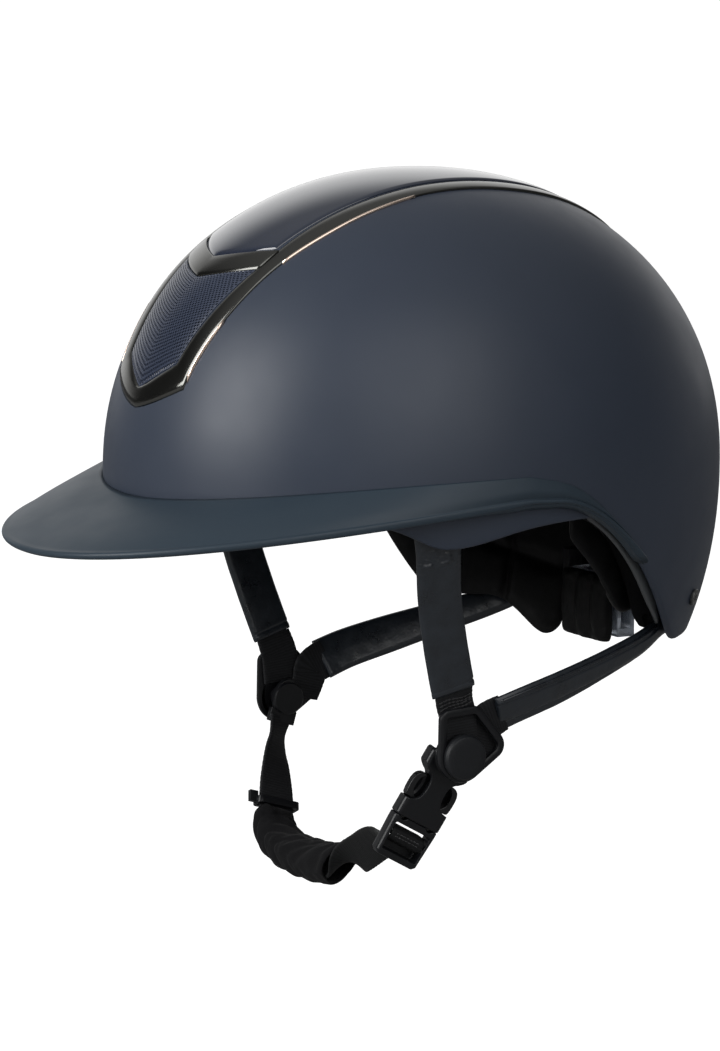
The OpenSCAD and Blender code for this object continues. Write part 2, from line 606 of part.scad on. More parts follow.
chin_lean = 16;
module chin_plane() translate(hub) rotate([-chin_lean, 0, 0]) children();
// The buckle's frame: origin at the socket's mouth, x out of its face, y across, z towards the hub
mouth = [eye_x - 7.1, -5.75, -31.1];
buckle_lean = -13.2;
buckle_tilt = 9.3;
buckle_twist = -2.1;
module buckle_frame() translate(mouth) rotate([buckle_lean, 0, 0]) rotate([0, buckle_tilt, 0])
    rotate([0, 0, buckle_twist]) children();
function turn_x(p, a) = [p[0], p[1] * cos(a) - p[2] * sin(a), p[1] * sin(a) + p[2] * cos(a)];
function turn_z(p, a) = [p[0] * cos(a) - p[1] * sin(a), p[0] * sin(a) + p[1] * cos(a), p[2]];
function turn_y(p, a) = [p[0] * cos(a) + p[2] * sin(a), p[1], -p[0] * sin(a) + p[2] * cos(a)];
function in_buckle(p) = turn_x(turn_y(turn_z(p, buckle_twist), buckle_tilt), buckle_lean);

socket_l = 31;
collar_l = 8;
window_top = 20;
arm_w = 3.4;
arm_x = buckle_w / 2 - 4.3;
slot_half = 2.2;
// A bar with rounded long edges, centred on x and y: depth, width, and from z0 to z1
module slab(d, w, z0, z1, r = 1.2) translate([0, 0, z0]) linear_extrude(z1 - z0)
    hull() for (x = [-1, 1], y = [-1, 1]) translate([x * (d / 2 - r), y * (w / 2 - r)]) circle(r = r, $fn = 24);
module block(d, w, z0, z1) translate([-d / 2, -w / 2, z0]) cube([d, w, z1 - z0]);
// Draws a flat shape whose x and y are the buckle's y and z, centred on its thickness
module cross_plate(t) rotate([90, 0, 90]) linear_extrude(t, center = true) children();
// The opening beside the socket's neck: distance in from the socket's side, and height above the mouth
side_opening = [[-1, 8], [1.4, 8], [4.4, 9], [6.1, 11.2], [6.6, 14], [6.6, 17], [5.8, 19.6], [4.2, 21.2],
    [3, 21.6], [-1, 25.2]];
module buckle_socket() {
    cavity_w = buckle_w - 3;
    color(black) chin_plane() difference() {
        union() {
            buckle_frame() slab(buckle_t, buckle_w, 0, socket_l);
            disc(eye_r, eye_x, eye_t);
        }
        buckle_frame() {
            block(2 * slot_half, cavity_w, -1, window_top);
            block(2 * slot_half, buckle_w + 2, -1, collar_l + 1);
            for (s = [-1, 1]) cross_plate(buckle_t + 2)
                polygon([for (p = side_opening) [s * (buckle_w / 2 - p[0]), p[1]]]);
        }
        disc(hub_r + pin_gap, eye_x - 20, 40);
        disc(hub_r + 2.5, eye_x - 8, 8);
    }
}
prong_root = 0.6;
module buckle_plug() {
    color(black) chin_plane() buckle_frame() difference() {
        union() {
            hull() {
                slab(buckle_t - 1, buckle_w, -1.4, -0.4);
                slab(buckle_t - 1, buckle_w - 1.6, -plug_l, -plug_l + 1);
            }
            block(2 * slot_half - 0.6, 2 * (arm_x - arm_w / 2) - 4.4, -1, 17);
        }
        block(buckle_t, web_w + 0.8, -plug_l + 2.2, -8.2);
        block(buckle_t, web_w + 0.8, -6, -3.6);
        for (s = [-1, 1]) translate([0, s * arm_x, prong_root]) rotate([0, 90, 0])
            cylinder(r = arm_w / 2 + 0.3, h = 20, center = true, $fn = 32);
    }
}
// One sprung prong: a round root in the plug, an arm, and a bowed hook that fills the opening beside the neck,
// drawn from the arm's middle and from the collar's top
hook = [[1.7, 0.2], [3.9, 0.5], [4.5, 2.5], [4.7, 5.5], [4.4, 8.5], [3.5, 10.5], [1.9, 11.6], [0.4, 11.8],
    [-0.3, 11], [0.9, 10], [1.8, 8.2], [2.1, 5.5], [1.7, 3.4], [0.5, 1.9], [-1.1, 0.8]];
module prong() {
    w = arm_w / 2;
    cross_plate(2 * slot_half - 0.8) translate([arm_x, 0]) {
        translate([0, prong_root]) circle(r = w, $fn = 32);
        polygon(concat([[-w, prong_root], [w, prong_root]], [for (p = hook) [p[0], collar_l + p[1]]],
            [[-w, collar_l - 0.5]]));
    }
}
module prong_front() color(black) chin_plane() buckle_frame() mirror([0, 1, 0]) prong();
module prong_rear() color(black) chin_plane() buckle_frame() prong();

// Stations of the chin strap in its plane: x, 0, z, then width direction, half width, half thickness
function roll_dir(ahead, roll) = let (out = unit([-ahead[1], 0, ahead[0]]))
    [out[0] * sin(roll), cos(roll), out[2] * sin(roll)];
pad_path = [[-59.5, -47.5, 0, 9.6, 5], [-57, -53, -6, 10.2, 7], [-50.5, -58.3, -13, 10.5, 8],
    [-41, -61.2, -21, 10.5, 8], [-30, -62, -29, 10.5, 8], [-18, -62, -38, 10.5, 8], [-6, -61.3, -47, 10.5, 7.6],
    [5, -59.6, -55, 10.3, 7]];
function pad_ahead(i) = let (n = len(pad_path) - 1, p = pad_path[max(0, i - 1)], q = pad_path[min(n, i + 1)])
    [q[0] - p[0], q[1] - p[1]];
pad_line = curve([for (i = [0:len(pad_path) - 1]) let (p = pad_path[i])
    concat([p[0], 0, p[1]], roll_dir(-pad_ahead(i), p[2]), [p[3] / 10.5, p[4] / 8])], 2);
// The webbing's stations inside the pad, between two of the pad's own
function web_in_pad(from, step, to) = [for (i = [from:step:to])
    concat(place(pad_line[i]), [pad_line[i][3], pad_line[i][4], pad_line[i][5], ww, wt])];
// Oval rings along stations, with creases sewn across them
function ovals(stations, half_w, half_t, crease) = let (n = len(stations)) [for (i = [0:n - 1])
    let (s = stations[i], along = unit(place(stations[min(n - 1, i + 1)]) - place(stations[max(0, i - 1)])),
        side = [s[3], s[4], s[5]], dir = unit(side - along * (side * along)), up = cross(along, dir))
    [for (k = [0:15]) let (c = cos(k * 22.5), e = sin(k * 22.5),
            fold = 1 - crease * pow(abs(cos(180 * (i / 3 + c * 0.35))), 6))
        place(s) + dir * sgn_pow(c, 0.8) * half_w(s) * fold + up * sgn_pow(e, 0.8) * half_t(s) * fold]];
module chin_pad() {
    s = pad_line;
    outer = ovals(s, function (s) chin_pad_w / 2 * s[6], function (s) chin_pad_t / 2 * s[7], 0.06);
    inner = ovals(s, function (s) ww + 0.7, function (s) wt + 0.9, 0);
    color(black) chin_plane() loft(concat(outer, [for (i = [len(inner) - 1:-1:0]) inner[i]]), around = true);
}
right_top = -eye_x - eye_t / 2;
right_path = [[right_top, -eye_r - 3], [right_top - 0.3, -16], [mix(right_top, -61.6, 0.14), -22],
    [mix(right_top, -61.6, 0.41), -28.5], [mix(right_top, -61.6, 0.71), -36], [-61.6, -43]];
module webbing_right() {
    n = len(right_path) - 1;
    line = [for (i = [0:n]) let (p = right_path[max(0, i - 1)], q = right_path[min(n, i + 1)])
        concat([right_path[i][0], 0, right_path[i][1]], roll_dir(p - q, 0), [ww, wt])];
    color(black) chin_plane() strap(concat(curve(line, 2), web_in_pad(0, 1, 8)));
}
module strap_tab_right() {
    color(black) chin_plane() mirror([1, 0, 0]) difference() {
        union() {
            disc(eye_r, eye_x, eye_t);
            translate([eye_x, -ww, -eye_r - 2.7]) cube([eye_t, web_w, 6]);
        }
        disc(hub_r + pin_gap, eye_x - 2, 10);
    }
}
// The left webbing leaves the plug's window under its bar and runs inwards to the pad
module webbing_left() {
    dir = in_buckle([0, 1, 0]);
    near = [for (p = [[2.6, 0, -9.15], [-3.4, 0, -9.4], [-8, 0, -11]])
        concat(mouth + in_buckle(p), dir, [ww, wt])];
    free = [for (p = [[36, -3, -46.5, -35], [20, -1, -54, -50]])
        concat(place(p), roll_dir([0.94, 0.34], p[3]), [ww, wt])];
    last = len(pad_line) - 1;
    color(black) chin_plane() strap(concat(curve(concat(near, free, web_in_pad(last, -1, last)), 2),
        web_in_pad(last - 1, -1, last - 4)));
}
module sleeve_cuff() {
    color(black) chin_plane() translate([-60.6, 0, -45.2]) rotate([0, -28, 0]) difference() {
        union() {
            slab(7, web_w + 3.6, -1.6, 1.6, 2);
            translate([-1, -web_w / 2 - 5, -1]) cube([2, 4, 5]);
        }
        block(web_t + 1.2, web_w + 0.8, -3, 3);
    }
}

crown_shell();
brim();
lower_shell();
ear_trim_left();
ear_trim_right();
impact_liner();
grille_frame();
frame_crossbar();
vent_grille();
top_panel();
accent_line();
rear_screws();
front_anchors();
crown_pad();
brow_pad();
temple_pad_left();
temple_pad_right();
nape_pad_left();
nape_pad_right();
nape_arm_left();
nape_arm_right();
nape_center_pad();
cradle_spine();
dial_housing();
dial_knob();
dial_gear();
front_cover_left();
front_cover_right();
front_webbing_left();
front_webbing_right();
rear_strap_left();
rear_strap_right();
divider_left();
divider_right();
divider_disc_left();
divider_disc_right();
buckle_socket();
buckle_plug();
prong_front();
prong_rear();
webbing_left();
webbing_right();
strap_tab_right();
chin_pad();
sleeve_cuff();
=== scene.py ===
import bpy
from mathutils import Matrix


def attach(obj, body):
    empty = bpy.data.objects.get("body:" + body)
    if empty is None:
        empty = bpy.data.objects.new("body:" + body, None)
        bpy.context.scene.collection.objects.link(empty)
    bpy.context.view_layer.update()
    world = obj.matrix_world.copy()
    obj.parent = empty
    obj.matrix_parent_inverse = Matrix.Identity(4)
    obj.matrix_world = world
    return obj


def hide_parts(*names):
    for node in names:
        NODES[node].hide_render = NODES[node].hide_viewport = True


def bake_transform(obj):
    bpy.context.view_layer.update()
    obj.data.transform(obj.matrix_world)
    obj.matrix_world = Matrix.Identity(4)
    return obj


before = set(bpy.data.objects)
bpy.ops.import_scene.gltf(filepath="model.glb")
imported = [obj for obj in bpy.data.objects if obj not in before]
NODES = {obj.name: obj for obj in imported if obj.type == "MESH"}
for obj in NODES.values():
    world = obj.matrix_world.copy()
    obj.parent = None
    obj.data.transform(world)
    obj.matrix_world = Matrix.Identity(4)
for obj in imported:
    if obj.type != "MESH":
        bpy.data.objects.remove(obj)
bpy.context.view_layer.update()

import math
import bmesh
import bpy
import numpy as np
from mathutils import Matrix, Vector, noise

MM = 0.001

# Shape of the shell, in millimetres, as in the CAD model
HALF_W = 110.0
FRONT = 128.0
REAR = 142.0
CROWN = 124.0
SKIRT = 156.0
PLAN_POWER = 2.05
SIDE_POWER = 2.1
LEAN = 4.0
WALL = 3.0
SKIN_GAP = 0.8
LINER_WALL = 15.0
LINER_IN = -(WALL + SKIN_GAP + LINER_WALL)
LOWER_OUT = -(WALL + SKIN_GAP)
LOWER_WALL = 2.0
RIM_FRONT = -5.0
RIM_NAPE = -73.0
EAR_FROM = 95.0
EAR_TO = 140.0


# Small maths helpers

def signed_power(v, e):
    return math.copysign(abs(v) ** e, v)


def ease(v, a, b):
    """A smooth step from 0 before a to 1 after b."""
    u = min(1.0, max(0.0, (v - a) / (b - a)))
    return u * u * (3 - 2 * u)


def bell(v, at, width):
    """1 at a place, and soon 0 on both sides of it."""
    return math.exp(-((v - at) / width) ** 2)


def mix(p, q, u):
    return np.asarray(p, float) * (1 - u) + np.asarray(q, float) * u


def unit(v):
    v = np.asarray(v, float)
    return v / np.linalg.norm(v)


def spline(points, n):
    """A Catmull-Rom curve through the points, n steps between each two."""
    p = [np.asarray(q, float) for q in points]
    out = []
    for i in range(len(p) - 1):
        a, b, c, d = p[max(0, i - 1)], p[i], p[i + 1], p[min(len(p) - 1, i + 2)]
        for k in range(n):
            u = k / n
            out.append(0.5 * (2 * b + (c - a) * u + (2 * a - 5 * b + 4 * c - d) * u * u
                              + (3 * b - a - 3 * c + d) * u ** 3))
    out.append(p[-1])
    return out


# The helmet's surface: plan angle from the brow (0) to the left ear (90) and the nape (180), and rise

def on_shell(a, t, off=0.0):
    """A place on the shell at a plan angle and a rise, off millimetres outside it."""
    ar, tr = math.radians(a), math.radians(t)
    r = abs(math.cos(tr)) ** (2 / SIDE_POWER)
    s = abs(math.sin(tr)) ** (2 / SIDE_POWER)
    reach = FRONT if math.cos(ar) > 0 else REAR
    x = (HALF_W + off) * signed_power(math.sin(ar), 2 / PLAN_POWER) * r
    y = -(reach + off) * signed_power(math.cos(ar), 2 / PLAN_POWER) * r
    if t > 0:
        return np.array([x, y + LEAN * s * s, (CROWN + off) * s])
    return np.array([x, y, -(SKIRT + off) * s])


def rise(z, off=0.0):
    """The rise angle that reaches a height."""
    h = CROWN if z > 0 else SKIRT
    return math.copysign(math.degrees(math.asin(min(1.0, abs(z) / (h + off)) ** (SIDE_POWER / 2))), z)


def on_level(a, z, off=0.0):
    return on_shell(a, rise(z, off), off)


def rim_z(a):
    """Height of the shell's lower edge: level in front, and falling behind the ears."""
    return RIM_FRONT + (RIM_NAPE - RIM_FRONT) * ease(abs(a), EAR_FROM, EAR_TO)


def low_z(a):
    """Lower edge of the temple shell under the crown shell."""
    a = abs(a)
    if a < 75:
        return RIM_FRONT - 5 - 11 * bell(a, 75, 9)
    return RIM_FRONT - 7 - 9 * bell(a, 75, 14)


def liner_z(a):
    return min(low_z(a) + 2, rim_z(a) + 4 + 10 * ease(abs(a), 148, 158))


def height(x, y, off):
    """Height of the crown over a place seen from above."""
    z = 0.0
    for _ in range(6):
        lean = y - LEAN * (z / CROWN) ** 2
        reach = (FRONT if lean < 0 else REAR) + off
        r = ((abs(x) / (HALF_W + off)) ** PLAN_POWER + (abs(lean) / reach) ** PLAN_POWER) ** (1 / PLAN_POWER)
        z = (CROWN + off) * max(0.0, 1 - min(1.0, r) ** SIDE_POWER) ** (1 / SIDE_POWER)
    return z


def over(p, off):
    return np.array([p[0], p[1], height(p[0], p[1], off)])


# Mesh helpers

def linked(name, data):
    """A new object in the scene."""
    obj = bpy.data.objects.new(name, data)
    bpy.context.scene.collection.objects.link(obj)
    return obj


def mesh_of(name, points, faces, scale=1.0):
    """A mesh from points in millimetres."""
    mesh = bpy.data.meshes.new(name)
    mesh.from_pydata([tuple(float(c) * MM * scale for c in p) for p in points], [], [tuple(f) for f in faces])
    return mesh


def piece(name, points, faces, body, material, slot=None, replaces=(), smooth=True, uvs=None):
    """A mesh object from points in millimetres, riding on a body."""
    mesh = mesh_of(name, points, faces)
    if uvs is not None:
        layer = mesh.uv_layers.new(name="UVMap")
        loops = np.zeros(len(mesh.loops), dtype=np.int32)
        mesh.loops.foreach_get("vertex_index", loops)
        layer.data.foreach_set("uv", np.asarray(uvs, np.float32)[loops].reshape(-1))
    mesh.validate()
    obj = linked(name, mesh)
    outward_faces(mesh)
    finish_piece(obj, body, material, replaces, smooth)
    return obj


def outward_faces(mesh):
    bm = bmesh.new()
    bm.from_mesh(mesh)
    bmesh.ops.recalc_face_normals(bm, faces=bm.faces)
    bm.to_mesh(mesh)
    bm.free()


def finish_piece(obj, body, material, replaces=(), smooth=True):
    """Gives a piece its material and its body, and hides the CAD nodes that it stands for."""
    obj.data.materials.clear()
    obj.data.materials.append(material.material)
    if obj.type == "MESH":
        obj.data.polygons.foreach_set("use_smooth", [smooth] * len(obj.data.polygons))
    if body:
        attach(obj, body)
    if replaces:
        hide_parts(*replaces)


def grid_faces(rows, cols, wrap_rows=False, wrap_cols=False):
    faces = []
    for i in range(rows if wrap_rows else rows - 1):
        for j in range(cols if wrap_cols else cols - 1):
            a, b = i * cols, (i + 1) % rows * cols
            k = (j + 1) % cols
            faces.append((a + j, a + k, b + k, b + j))
    return faces


def loft(rings, close_ends=True, around=False):
    """Points and faces of a skin over rings; each ring is closed."""
    m = len(rings[0])
    points = [p for ring in rings for p in ring]
    faces = grid_faces(len(rings), m, wrap_rows=around, wrap_cols=True)
    if close_ends and not around:
        faces.append(tuple(range(m)))
        faces.append(tuple(range(len(points) - m, len(points))))
    return points, faces


def joined(parts):
    """Points and faces of several skins as one mesh."""
    points, faces = [], []
    for more, shown in parts:
        faces += [tuple(len(points) + c for c in f) for f in shown]
        points += more
    return points, faces


def ring_uvs(rings):
    """Around and along distances of a loft in metres, for materials that follow it."""
    uvs = []
    along = 0.0
    for i, ring in enumerate(rings):
        centre = np.mean(ring, axis=0)
        if i:
            along += float(np.linalg.norm(centre - before)) * MM
        before = centre
        around = 0.0
        for j, p in enumerate(ring):
            if j:
                around += float(np.linalg.norm(np.asarray(p) - ring[j - 1])) * MM
            uvs.append((around, along))
    return uvs


def modifier(obj, kind, **settings):
    mod = obj.modifiers.new(kind.title(), kind)
    for key, value in settings.items():
        setattr(mod, key, value)
    return mod


def apply_modifiers(obj):
    depsgraph = bpy.context.evaluated_depsgraph_get()
    mesh = bpy.data.meshes.new_from_object(obj.evaluated_get(depsgraph))
    obj.modifiers.clear()
    old = obj.data
    obj.data = mesh
    bpy.data.meshes.remove(old)


def sharpened(obj, degrees):
    obj.data.set_sharp_from_angle(angle=math.radians(degrees))


def rounded(node, body, material, width, angle=28):
    """A copy of a hard CAD node with its flat faces joined and its edges rounded."""
    obj = linked(node + "_fine", NODES[node].data.copy())
    bm = bmesh.new()
    bm.from_mesh(obj.data)
    bmesh.ops.remove_doubles(bm, verts=bm.verts, dist=0.00001)
    bmesh.ops.dissolve_limit(bm, angle_limit=math.radians(1.5), verts=bm.verts, edges=bm.edges)
    bm.to_mesh(obj.data)
    bm.free()
    modifier(obj, "BEVEL", width=width * MM, segments=3, limit_method="ANGLE",
             angle_limit=math.radians(angle), harden_normals=True, use_clamp_overlap=True)
    finish_piece(obj, body, material, (node,))
    return obj


# Helper solids, to cut from a piece or to join to it

def at(place, *turns):
    """A frame at a place in millimetres, turned by (degrees, axis) in order."""
    frame_at = Matrix.Translation(Vector([float(c) for c in place]))
    for degrees, axis in turns:
        frame_at = frame_at @ Matrix.Rotation(math.radians(degrees), 4, axis)
    return frame_at


def helper(bm):
    mesh = bpy.data.meshes.new("helper")
    bm.to_mesh(mesh)
    bm.free()
    return linked("helper", mesh)


def boxed(size, place, round_mm=2.0):
    """A block with rounded edges, in a frame given by a matrix in millimetres."""
    bm = bmesh.new()
    bmesh.ops.create_cube(bm, size=1.0)
    bmesh.ops.scale(bm, verts=bm.verts, vec=size)
    if round_mm:
        bmesh.ops.bevel(bm, geom=bm.edges[:], offset=round_mm, segments=4, affect="EDGES", profile=0.5)
    bm.transform(Matrix.Scale(MM, 4) @ place)
    return helper(bm)


def drum(radius, length, place, sides=64):
    """A cylinder along its own X, from 0 to its length."""
    bm = bmesh.new()
    bmesh.ops.create_cone(bm, cap_ends=True, segments=sides, radius1=radius, radius2=radius, depth=length)
    bm.transform(Matrix.Scale(MM, 4) @ place @ Matrix.Rotation(math.pi / 2, 4, "Y")
                 @ Matrix.Translation((0, 0, length / 2)))
    return helper(bm)


def carve(obj, *others, operation="DIFFERENCE"):
    """Cuts helper solids out of a piece, or joins them to it, and removes them."""
    for other in others:
        modifier(obj, "BOOLEAN", object=other, operation=operation, solver="EXACT")
        apply_modifiers(obj)
        mesh = other.data
        bpy.data.objects.remove(other)
        bpy.data.meshes.remove(mesh)


# Materials: every one has its own nodes for colour, and also for roughness, relief or both

class Nodes:
    """Short calls for the nodes of one tree."""

    def __init__(self, tree):
        self.tree = tree

    def node(self, kind, links=None, **settings):
        made = self.tree.nodes.new("ShaderNode" + kind)
        for key, value in settings.items():
            if key in made.inputs:
                made.inputs[key].default_value = value
            else:
                setattr(made, key, value)
        for socket, source in (links or {}).items():
            self.tree.links.new(source, made.inputs[socket])
        return made

    def span(self, value, low, high, start=0.0, end=1.0, kind="LINEAR"):
        """A value brought from start..end to low..high."""
        made = self.node("MapRange", {"Value": value}, interpolation_type=kind)
        for socket, limit in (("From Min", start), ("From Max", end), ("To Min", low), ("To Max", high)):
            made.inputs[socket].default_value = limit
        return made.outputs["Result"]

    def maths(self, operation, a, b=None):
        made = self.node("Math", operation=operation)
        for slot, value in enumerate((a, b)):
            if isinstance(value, (int, float)):
                made.inputs[slot].default_value = value
            elif value is not None:
                self.tree.links.new(value, made.inputs[slot])
        return made.outputs["Value"]


class Shader(Nodes):
    """A principled material; its relief grows by one layer with each call."""

    def __init__(self, name, colour, roughness, metallic=0.0, **sockets):
        self.material = bpy.data.materials.new(name)
        self.material.use_nodes = True
        super().__init__(self.material.node_tree)
        self.bsdf = self.tree.nodes["Principled BSDF"]
        self.bsdf.inputs["Base Color"].default_value = (*colour, 1)
        self.bsdf.inputs["Roughness"].default_value = roughness
        self.bsdf.inputs["Metallic"].default_value = metallic
        for key, value in sockets.items():
            self.bsdf.inputs[key.replace("_", " ")].default_value = value
        self.coords = self.node("TexCoord").outputs
        self.normal = None

    def noise(self, scale, detail=3.0, roughness=0.5):
        return self.node("TexNoise", {"Vector": self.coords["Object"]}, Scale=scale, Detail=detail,
                         Roughness=roughness).outputs["Fac"]

    def cells(self, feature, scale):
        return self.node("TexVoronoi", {"Vector": self.coords["Object"]}, feature=feature,
                         Scale=scale).outputs["Distance"]

    def set(self, socket, source):
        self.tree.links.new(source, self.bsdf.inputs[socket])

    def tint(self, value, *stops):
        """The base colour by value: stops are (place, colour)."""
        ramp = self.node("ValToRGB", {"Fac": value})
        for element, (place, colour) in zip(ramp.color_ramp.elements, stops):
            element.position = place
            element.color = (*colour, 1)
        self.set("Base Color", ramp.outputs["Color"])

    def relief(self, value, depth_mm):
        """Adds a height in millimetres, in front of what is there."""
        links = {"Height": value}
        if self.normal is not None:
            links["Normal"] = self.normal
        self.normal = self.node("Bump", links, Strength=1.0, Distance=depth_mm * MM).outputs["Normal"]
        self.set("Normal", self.normal)


def shade(colour, share):
    return tuple(min(1.0, c * share) for c in colour)


def grained(name, colour, roughness, spread=0.12, grain=900.0, depth=0.02, metallic=0.0, **sockets):
    """Moulded or painted stuff: soft clouds of colour and roughness, with a fine grain."""
    m = Shader(name, colour, roughness, metallic, **sockets)
    m.tint(m.noise(18.0, 4.0), (0.3, shade(colour, 1 - spread)), (0.7, shade(colour, 1 + spread)))
    m.set("Roughness", m.span(m.noise(60.0, 5.0), roughness * 0.93, min(1.0, roughness * 1.07), 0.3, 0.7))
    if depth:
        m.relief(m.noise(grain, 2.0), depth)
    return m


def woven(name, colour, across_mm, along_mm, depth, roughness=0.75, sheen=0.3):
    """Webbing: cords across and fine yarns along, laid by the strap's own coordinates."""
    m = Shader(name, colour, roughness, Sheen_Weight=sheen, Specular_IOR_Level=0.3)
    uv = m.node("SeparateXYZ", {"Vector": m.coords["UV"]}).outputs
    ribs = m.maths("SINE", m.maths("MULTIPLY", uv["Y"], 2 * math.pi / (along_mm * MM)))
    yarn = m.maths("SINE", m.maths("MULTIPLY", uv["X"], 2 * math.pi / (across_mm * MM)))
    both = m.maths("ADD", m.maths("MULTIPLY", ribs, 0.7), m.maths("MULTIPLY", yarn, 0.3))
    height = m.span(both, 0, 1, -1, 1)
    # The colour follows the cords' height: painted shade in the grooves between cords and a painted highlight
    # on their tops
    m.tint(height, (0.15, shade(colour, 0.45)), (0.85, shade(colour, 1.6)))
    m.relief(height, depth)
    m.relief(m.noise(2500.0, 2.0), 0.03)
    return m


def leathered(name, colour, roughness, crinkle=0.12, gloss=0.6):
    """Soft coated leather: a pebble grain and longer creases."""
    m = Shader(name, colour, roughness, Specular_IOR_Level=gloss)
    creases = m.noise(120.0, 4.0, 0.6)
    # The colour follows the creases' relief: painted shade in their hollows and a painted highlight on their
    # ridges
    m.tint(creases, (0.3, shade(colour, 0.7)), (0.75, shade(colour, 1.25)))
    m.set("Roughness", m.span(creases, roughness * 0.85, roughness * 1.2, 0.3, 0.7))
    m.relief(creases, crinkle)
    m.relief(m.cells("SMOOTH_F1", 900.0), 0.04)
    return m


def knitted(name, colour, roughness=0.95, cell=0.9, depth=0.12, sheen=0.5):
    """Soft lining cloth: a fine knit with a faint sheen."""
    m = Shader(name, colour, roughness, Sheen_Weight=sheen, Sheen_Roughness=0.5, Specular_IOR_Level=0.2)
    m.tint(m.noise(70.0, 4.0), (0.3, shade(colour, 0.75)), (0.7, shade(colour, 1.3)))
    m.relief(m.cells("F1", 1000.0 / cell), depth)
    return m


shell_paint = grained("shell_matt_paint", (0.036, 0.046, 0.068), 0.42, spread=0.04, grain=4000.0, depth=0.006,
                      Specular_IOR_Level=0.4)
brim_paint = grained("brim_matt_paint", (0.027, 0.042, 0.058), 0.45, spread=0.04, grain=4000.0, depth=0.006,
                      Specular_IOR_Level=0.35)
panel_paint = grained("panel_gloss_paint", (0.012, 0.018, 0.036), 0.07, spread=0.05, depth=0, Coat_Weight=1.0,
                      Coat_Roughness=0.03)
gunmetal = grained("frame_dark_chrome", (0.115, 0.115, 0.108), 0.16, spread=0.06, depth=0, metallic=1.0)
# Light metal for the line on the frame's edge: its pale tone is a painted highlight of the edge
highlight_metal = grained("painted_highlight_metal", (0.9, 0.72, 0.6), 0.22, spread=0.05, depth=0, metallic=1.0)
mesh_paint = grained("grille_paint", (0.032, 0.042, 0.072), 0.26, spread=0.1, depth=0, Specular_IOR_Level=1.0)
trim_grey = grained("ear_trim_grey", (0.07, 0.075, 0.08), 0.38, spread=0.05, grain=1400.0, depth=0.02)
foam = grained("liner_foam", (0.003, 0.003, 0.0035), 0.9, spread=0.25, grain=500.0, depth=0.15,
               Specular_IOR_Level=0.1)
plastic = grained("buckle_plastic", (0.0055, 0.006, 0.0075), 0.36, spread=0.1, grain=1400.0, depth=0.025,
                  Specular_IOR_Level=0.35)
arm_plastic = grained("anchor_plastic", (0.02, 0.02, 0.022), 0.45, spread=0.1, grain=1200.0, depth=0.03)
clear_grey = grained("housing_clear", (0.5, 0.54, 0.6), 0.2, spread=0.04, depth=0, Transmission_Weight=0.7,
                      IOR=1.45)
screw_metal = grained("screw_metal", (0.10, 0.10, 0.10), 0.3, spread=0.1, depth=0.01, metallic=0.6)
lining = knitted("lining_cloth", (0.0035, 0.0035, 0.004), sheen=0.05)
lining_leather = leathered("lining_leather", (0.0035, 0.0035, 0.004), 0.55, crinkle=0.25, gloss=0.25)
strap_leather = leathered("strap_leather", (0.016, 0.0205, 0.027), 0.3)
webbing = woven("strap_webbing", (0.0065, 0.007, 0.0085), 0.55, 1.15, 0.05, 0.7, 0.05)
webbing_smooth = woven("plug_webbing", (0.0035, 0.004, 0.0045), 0.5, 1.15, 0.04, 0.65, 0.03)
gloss_plastic = grained("gloss_plastic", (0.005, 0.0055, 0.0065), 0.18, spread=0.1, grain=900.0, depth=0.01)
disc_plastic = grained("disc_plastic", (0.0075, 0.0085, 0.0105), 0.5, spread=0.1, grain=1400.0, depth=0.03,
                       Specular_IOR_Level=0.35)
cord_leather = leathered("cord_leather", (0.014, 0.017, 0.022), 0.26, crinkle=0.05)
thread = woven("stitch_thread", (0.02, 0.02, 0.022), 0.3, 0.5, 0.05, 0.5)
suede = knitted("chin_suede", (0.0045, 0.0045, 0.0052), cell=0.5, depth=0.08, sheen=0.03)


# Outer shell

def edge_profile(z0, outer, inner, n=6):
    """Offsets and heights round the lower edge of a wall, from its outside to its inside."""
    half = (outer - inner) / 2
    return [(inner + half + half * math.cos(math.pi * k / n), z0 + half - half * math.sin(math.pi * k / n))
            for k in range(n + 1)]


def wall(a, z0, outer, inner, top_t, rows, inner_rows):
    """One column of a domed wall: down the outside, round the edge and up the inside."""
    half = (outer - inner) / 2
    t0 = rise(z0 + half, outer)
    down = [on_shell(a, top_t + (t0 - top_t) * k / rows, outer) for k in range(rows)]
    edge = [on_level(a, z, off) for off, z in edge_profile(z0, outer, inner)]
    t1 = rise(z0 + half, inner)
    up = [on_shell(a, t1 + (top_t - t1) * k / inner_rows, inner) for k in range(1, inner_rows + 1)]
    return down + edge + up


def columns(n):
    return [(k * 360.0 / n + 180) % 360 - 180 for k in range(n)]


VENT_X = (-14, 0, 14)
VENT_HALF_W = 4.5
VENT_LOW, VENT_HIGH = -11, 15
VENT_ABOVE = 12
VENT_CORNER = 3
VENT_Y, VENT_Z = -0.836 * FRONT, 0.524 * CROWN
VENT_SLOPE = math.radians(57)
vent_place = Matrix.Translation((0, VENT_Y * MM, VENT_Z * MM)) @ Matrix.Rotation(VENT_SLOPE, 4, "X")


def cut_vents(obj, depth):
    """Cuts the three slots behind the grille through a wall."""
    for x in VENT_X:
        bm = bmesh.new()
        bmesh.ops.create_cube(bm, size=1.0)
        size = (2 * VENT_HALF_W, VENT_HIGH - VENT_LOW, depth + VENT_ABOVE)
        centre = (x, (VENT_HIGH + VENT_LOW) / 2, (VENT_ABOVE - depth) / 2)
        bmesh.ops.scale(bm, verts=bm.verts, vec=[c * MM for c in size])
        bmesh.ops.translate(bm, verts=bm.verts, vec=[c * MM for c in centre])
        upright = [e for e in bm.edges if abs(e.verts[0].co.z - e.verts[1].co.z) > depth / 2 * MM]
        bmesh.ops.bevel(bm, geom=upright, offset=VENT_CORNER * MM, segments=5, affect="EDGES", profile=0.5)
        bm.transform(vent_place)
        carve(obj, helper(bm))
    sharpened(obj, 35)


SHELL_COLUMNS = 240


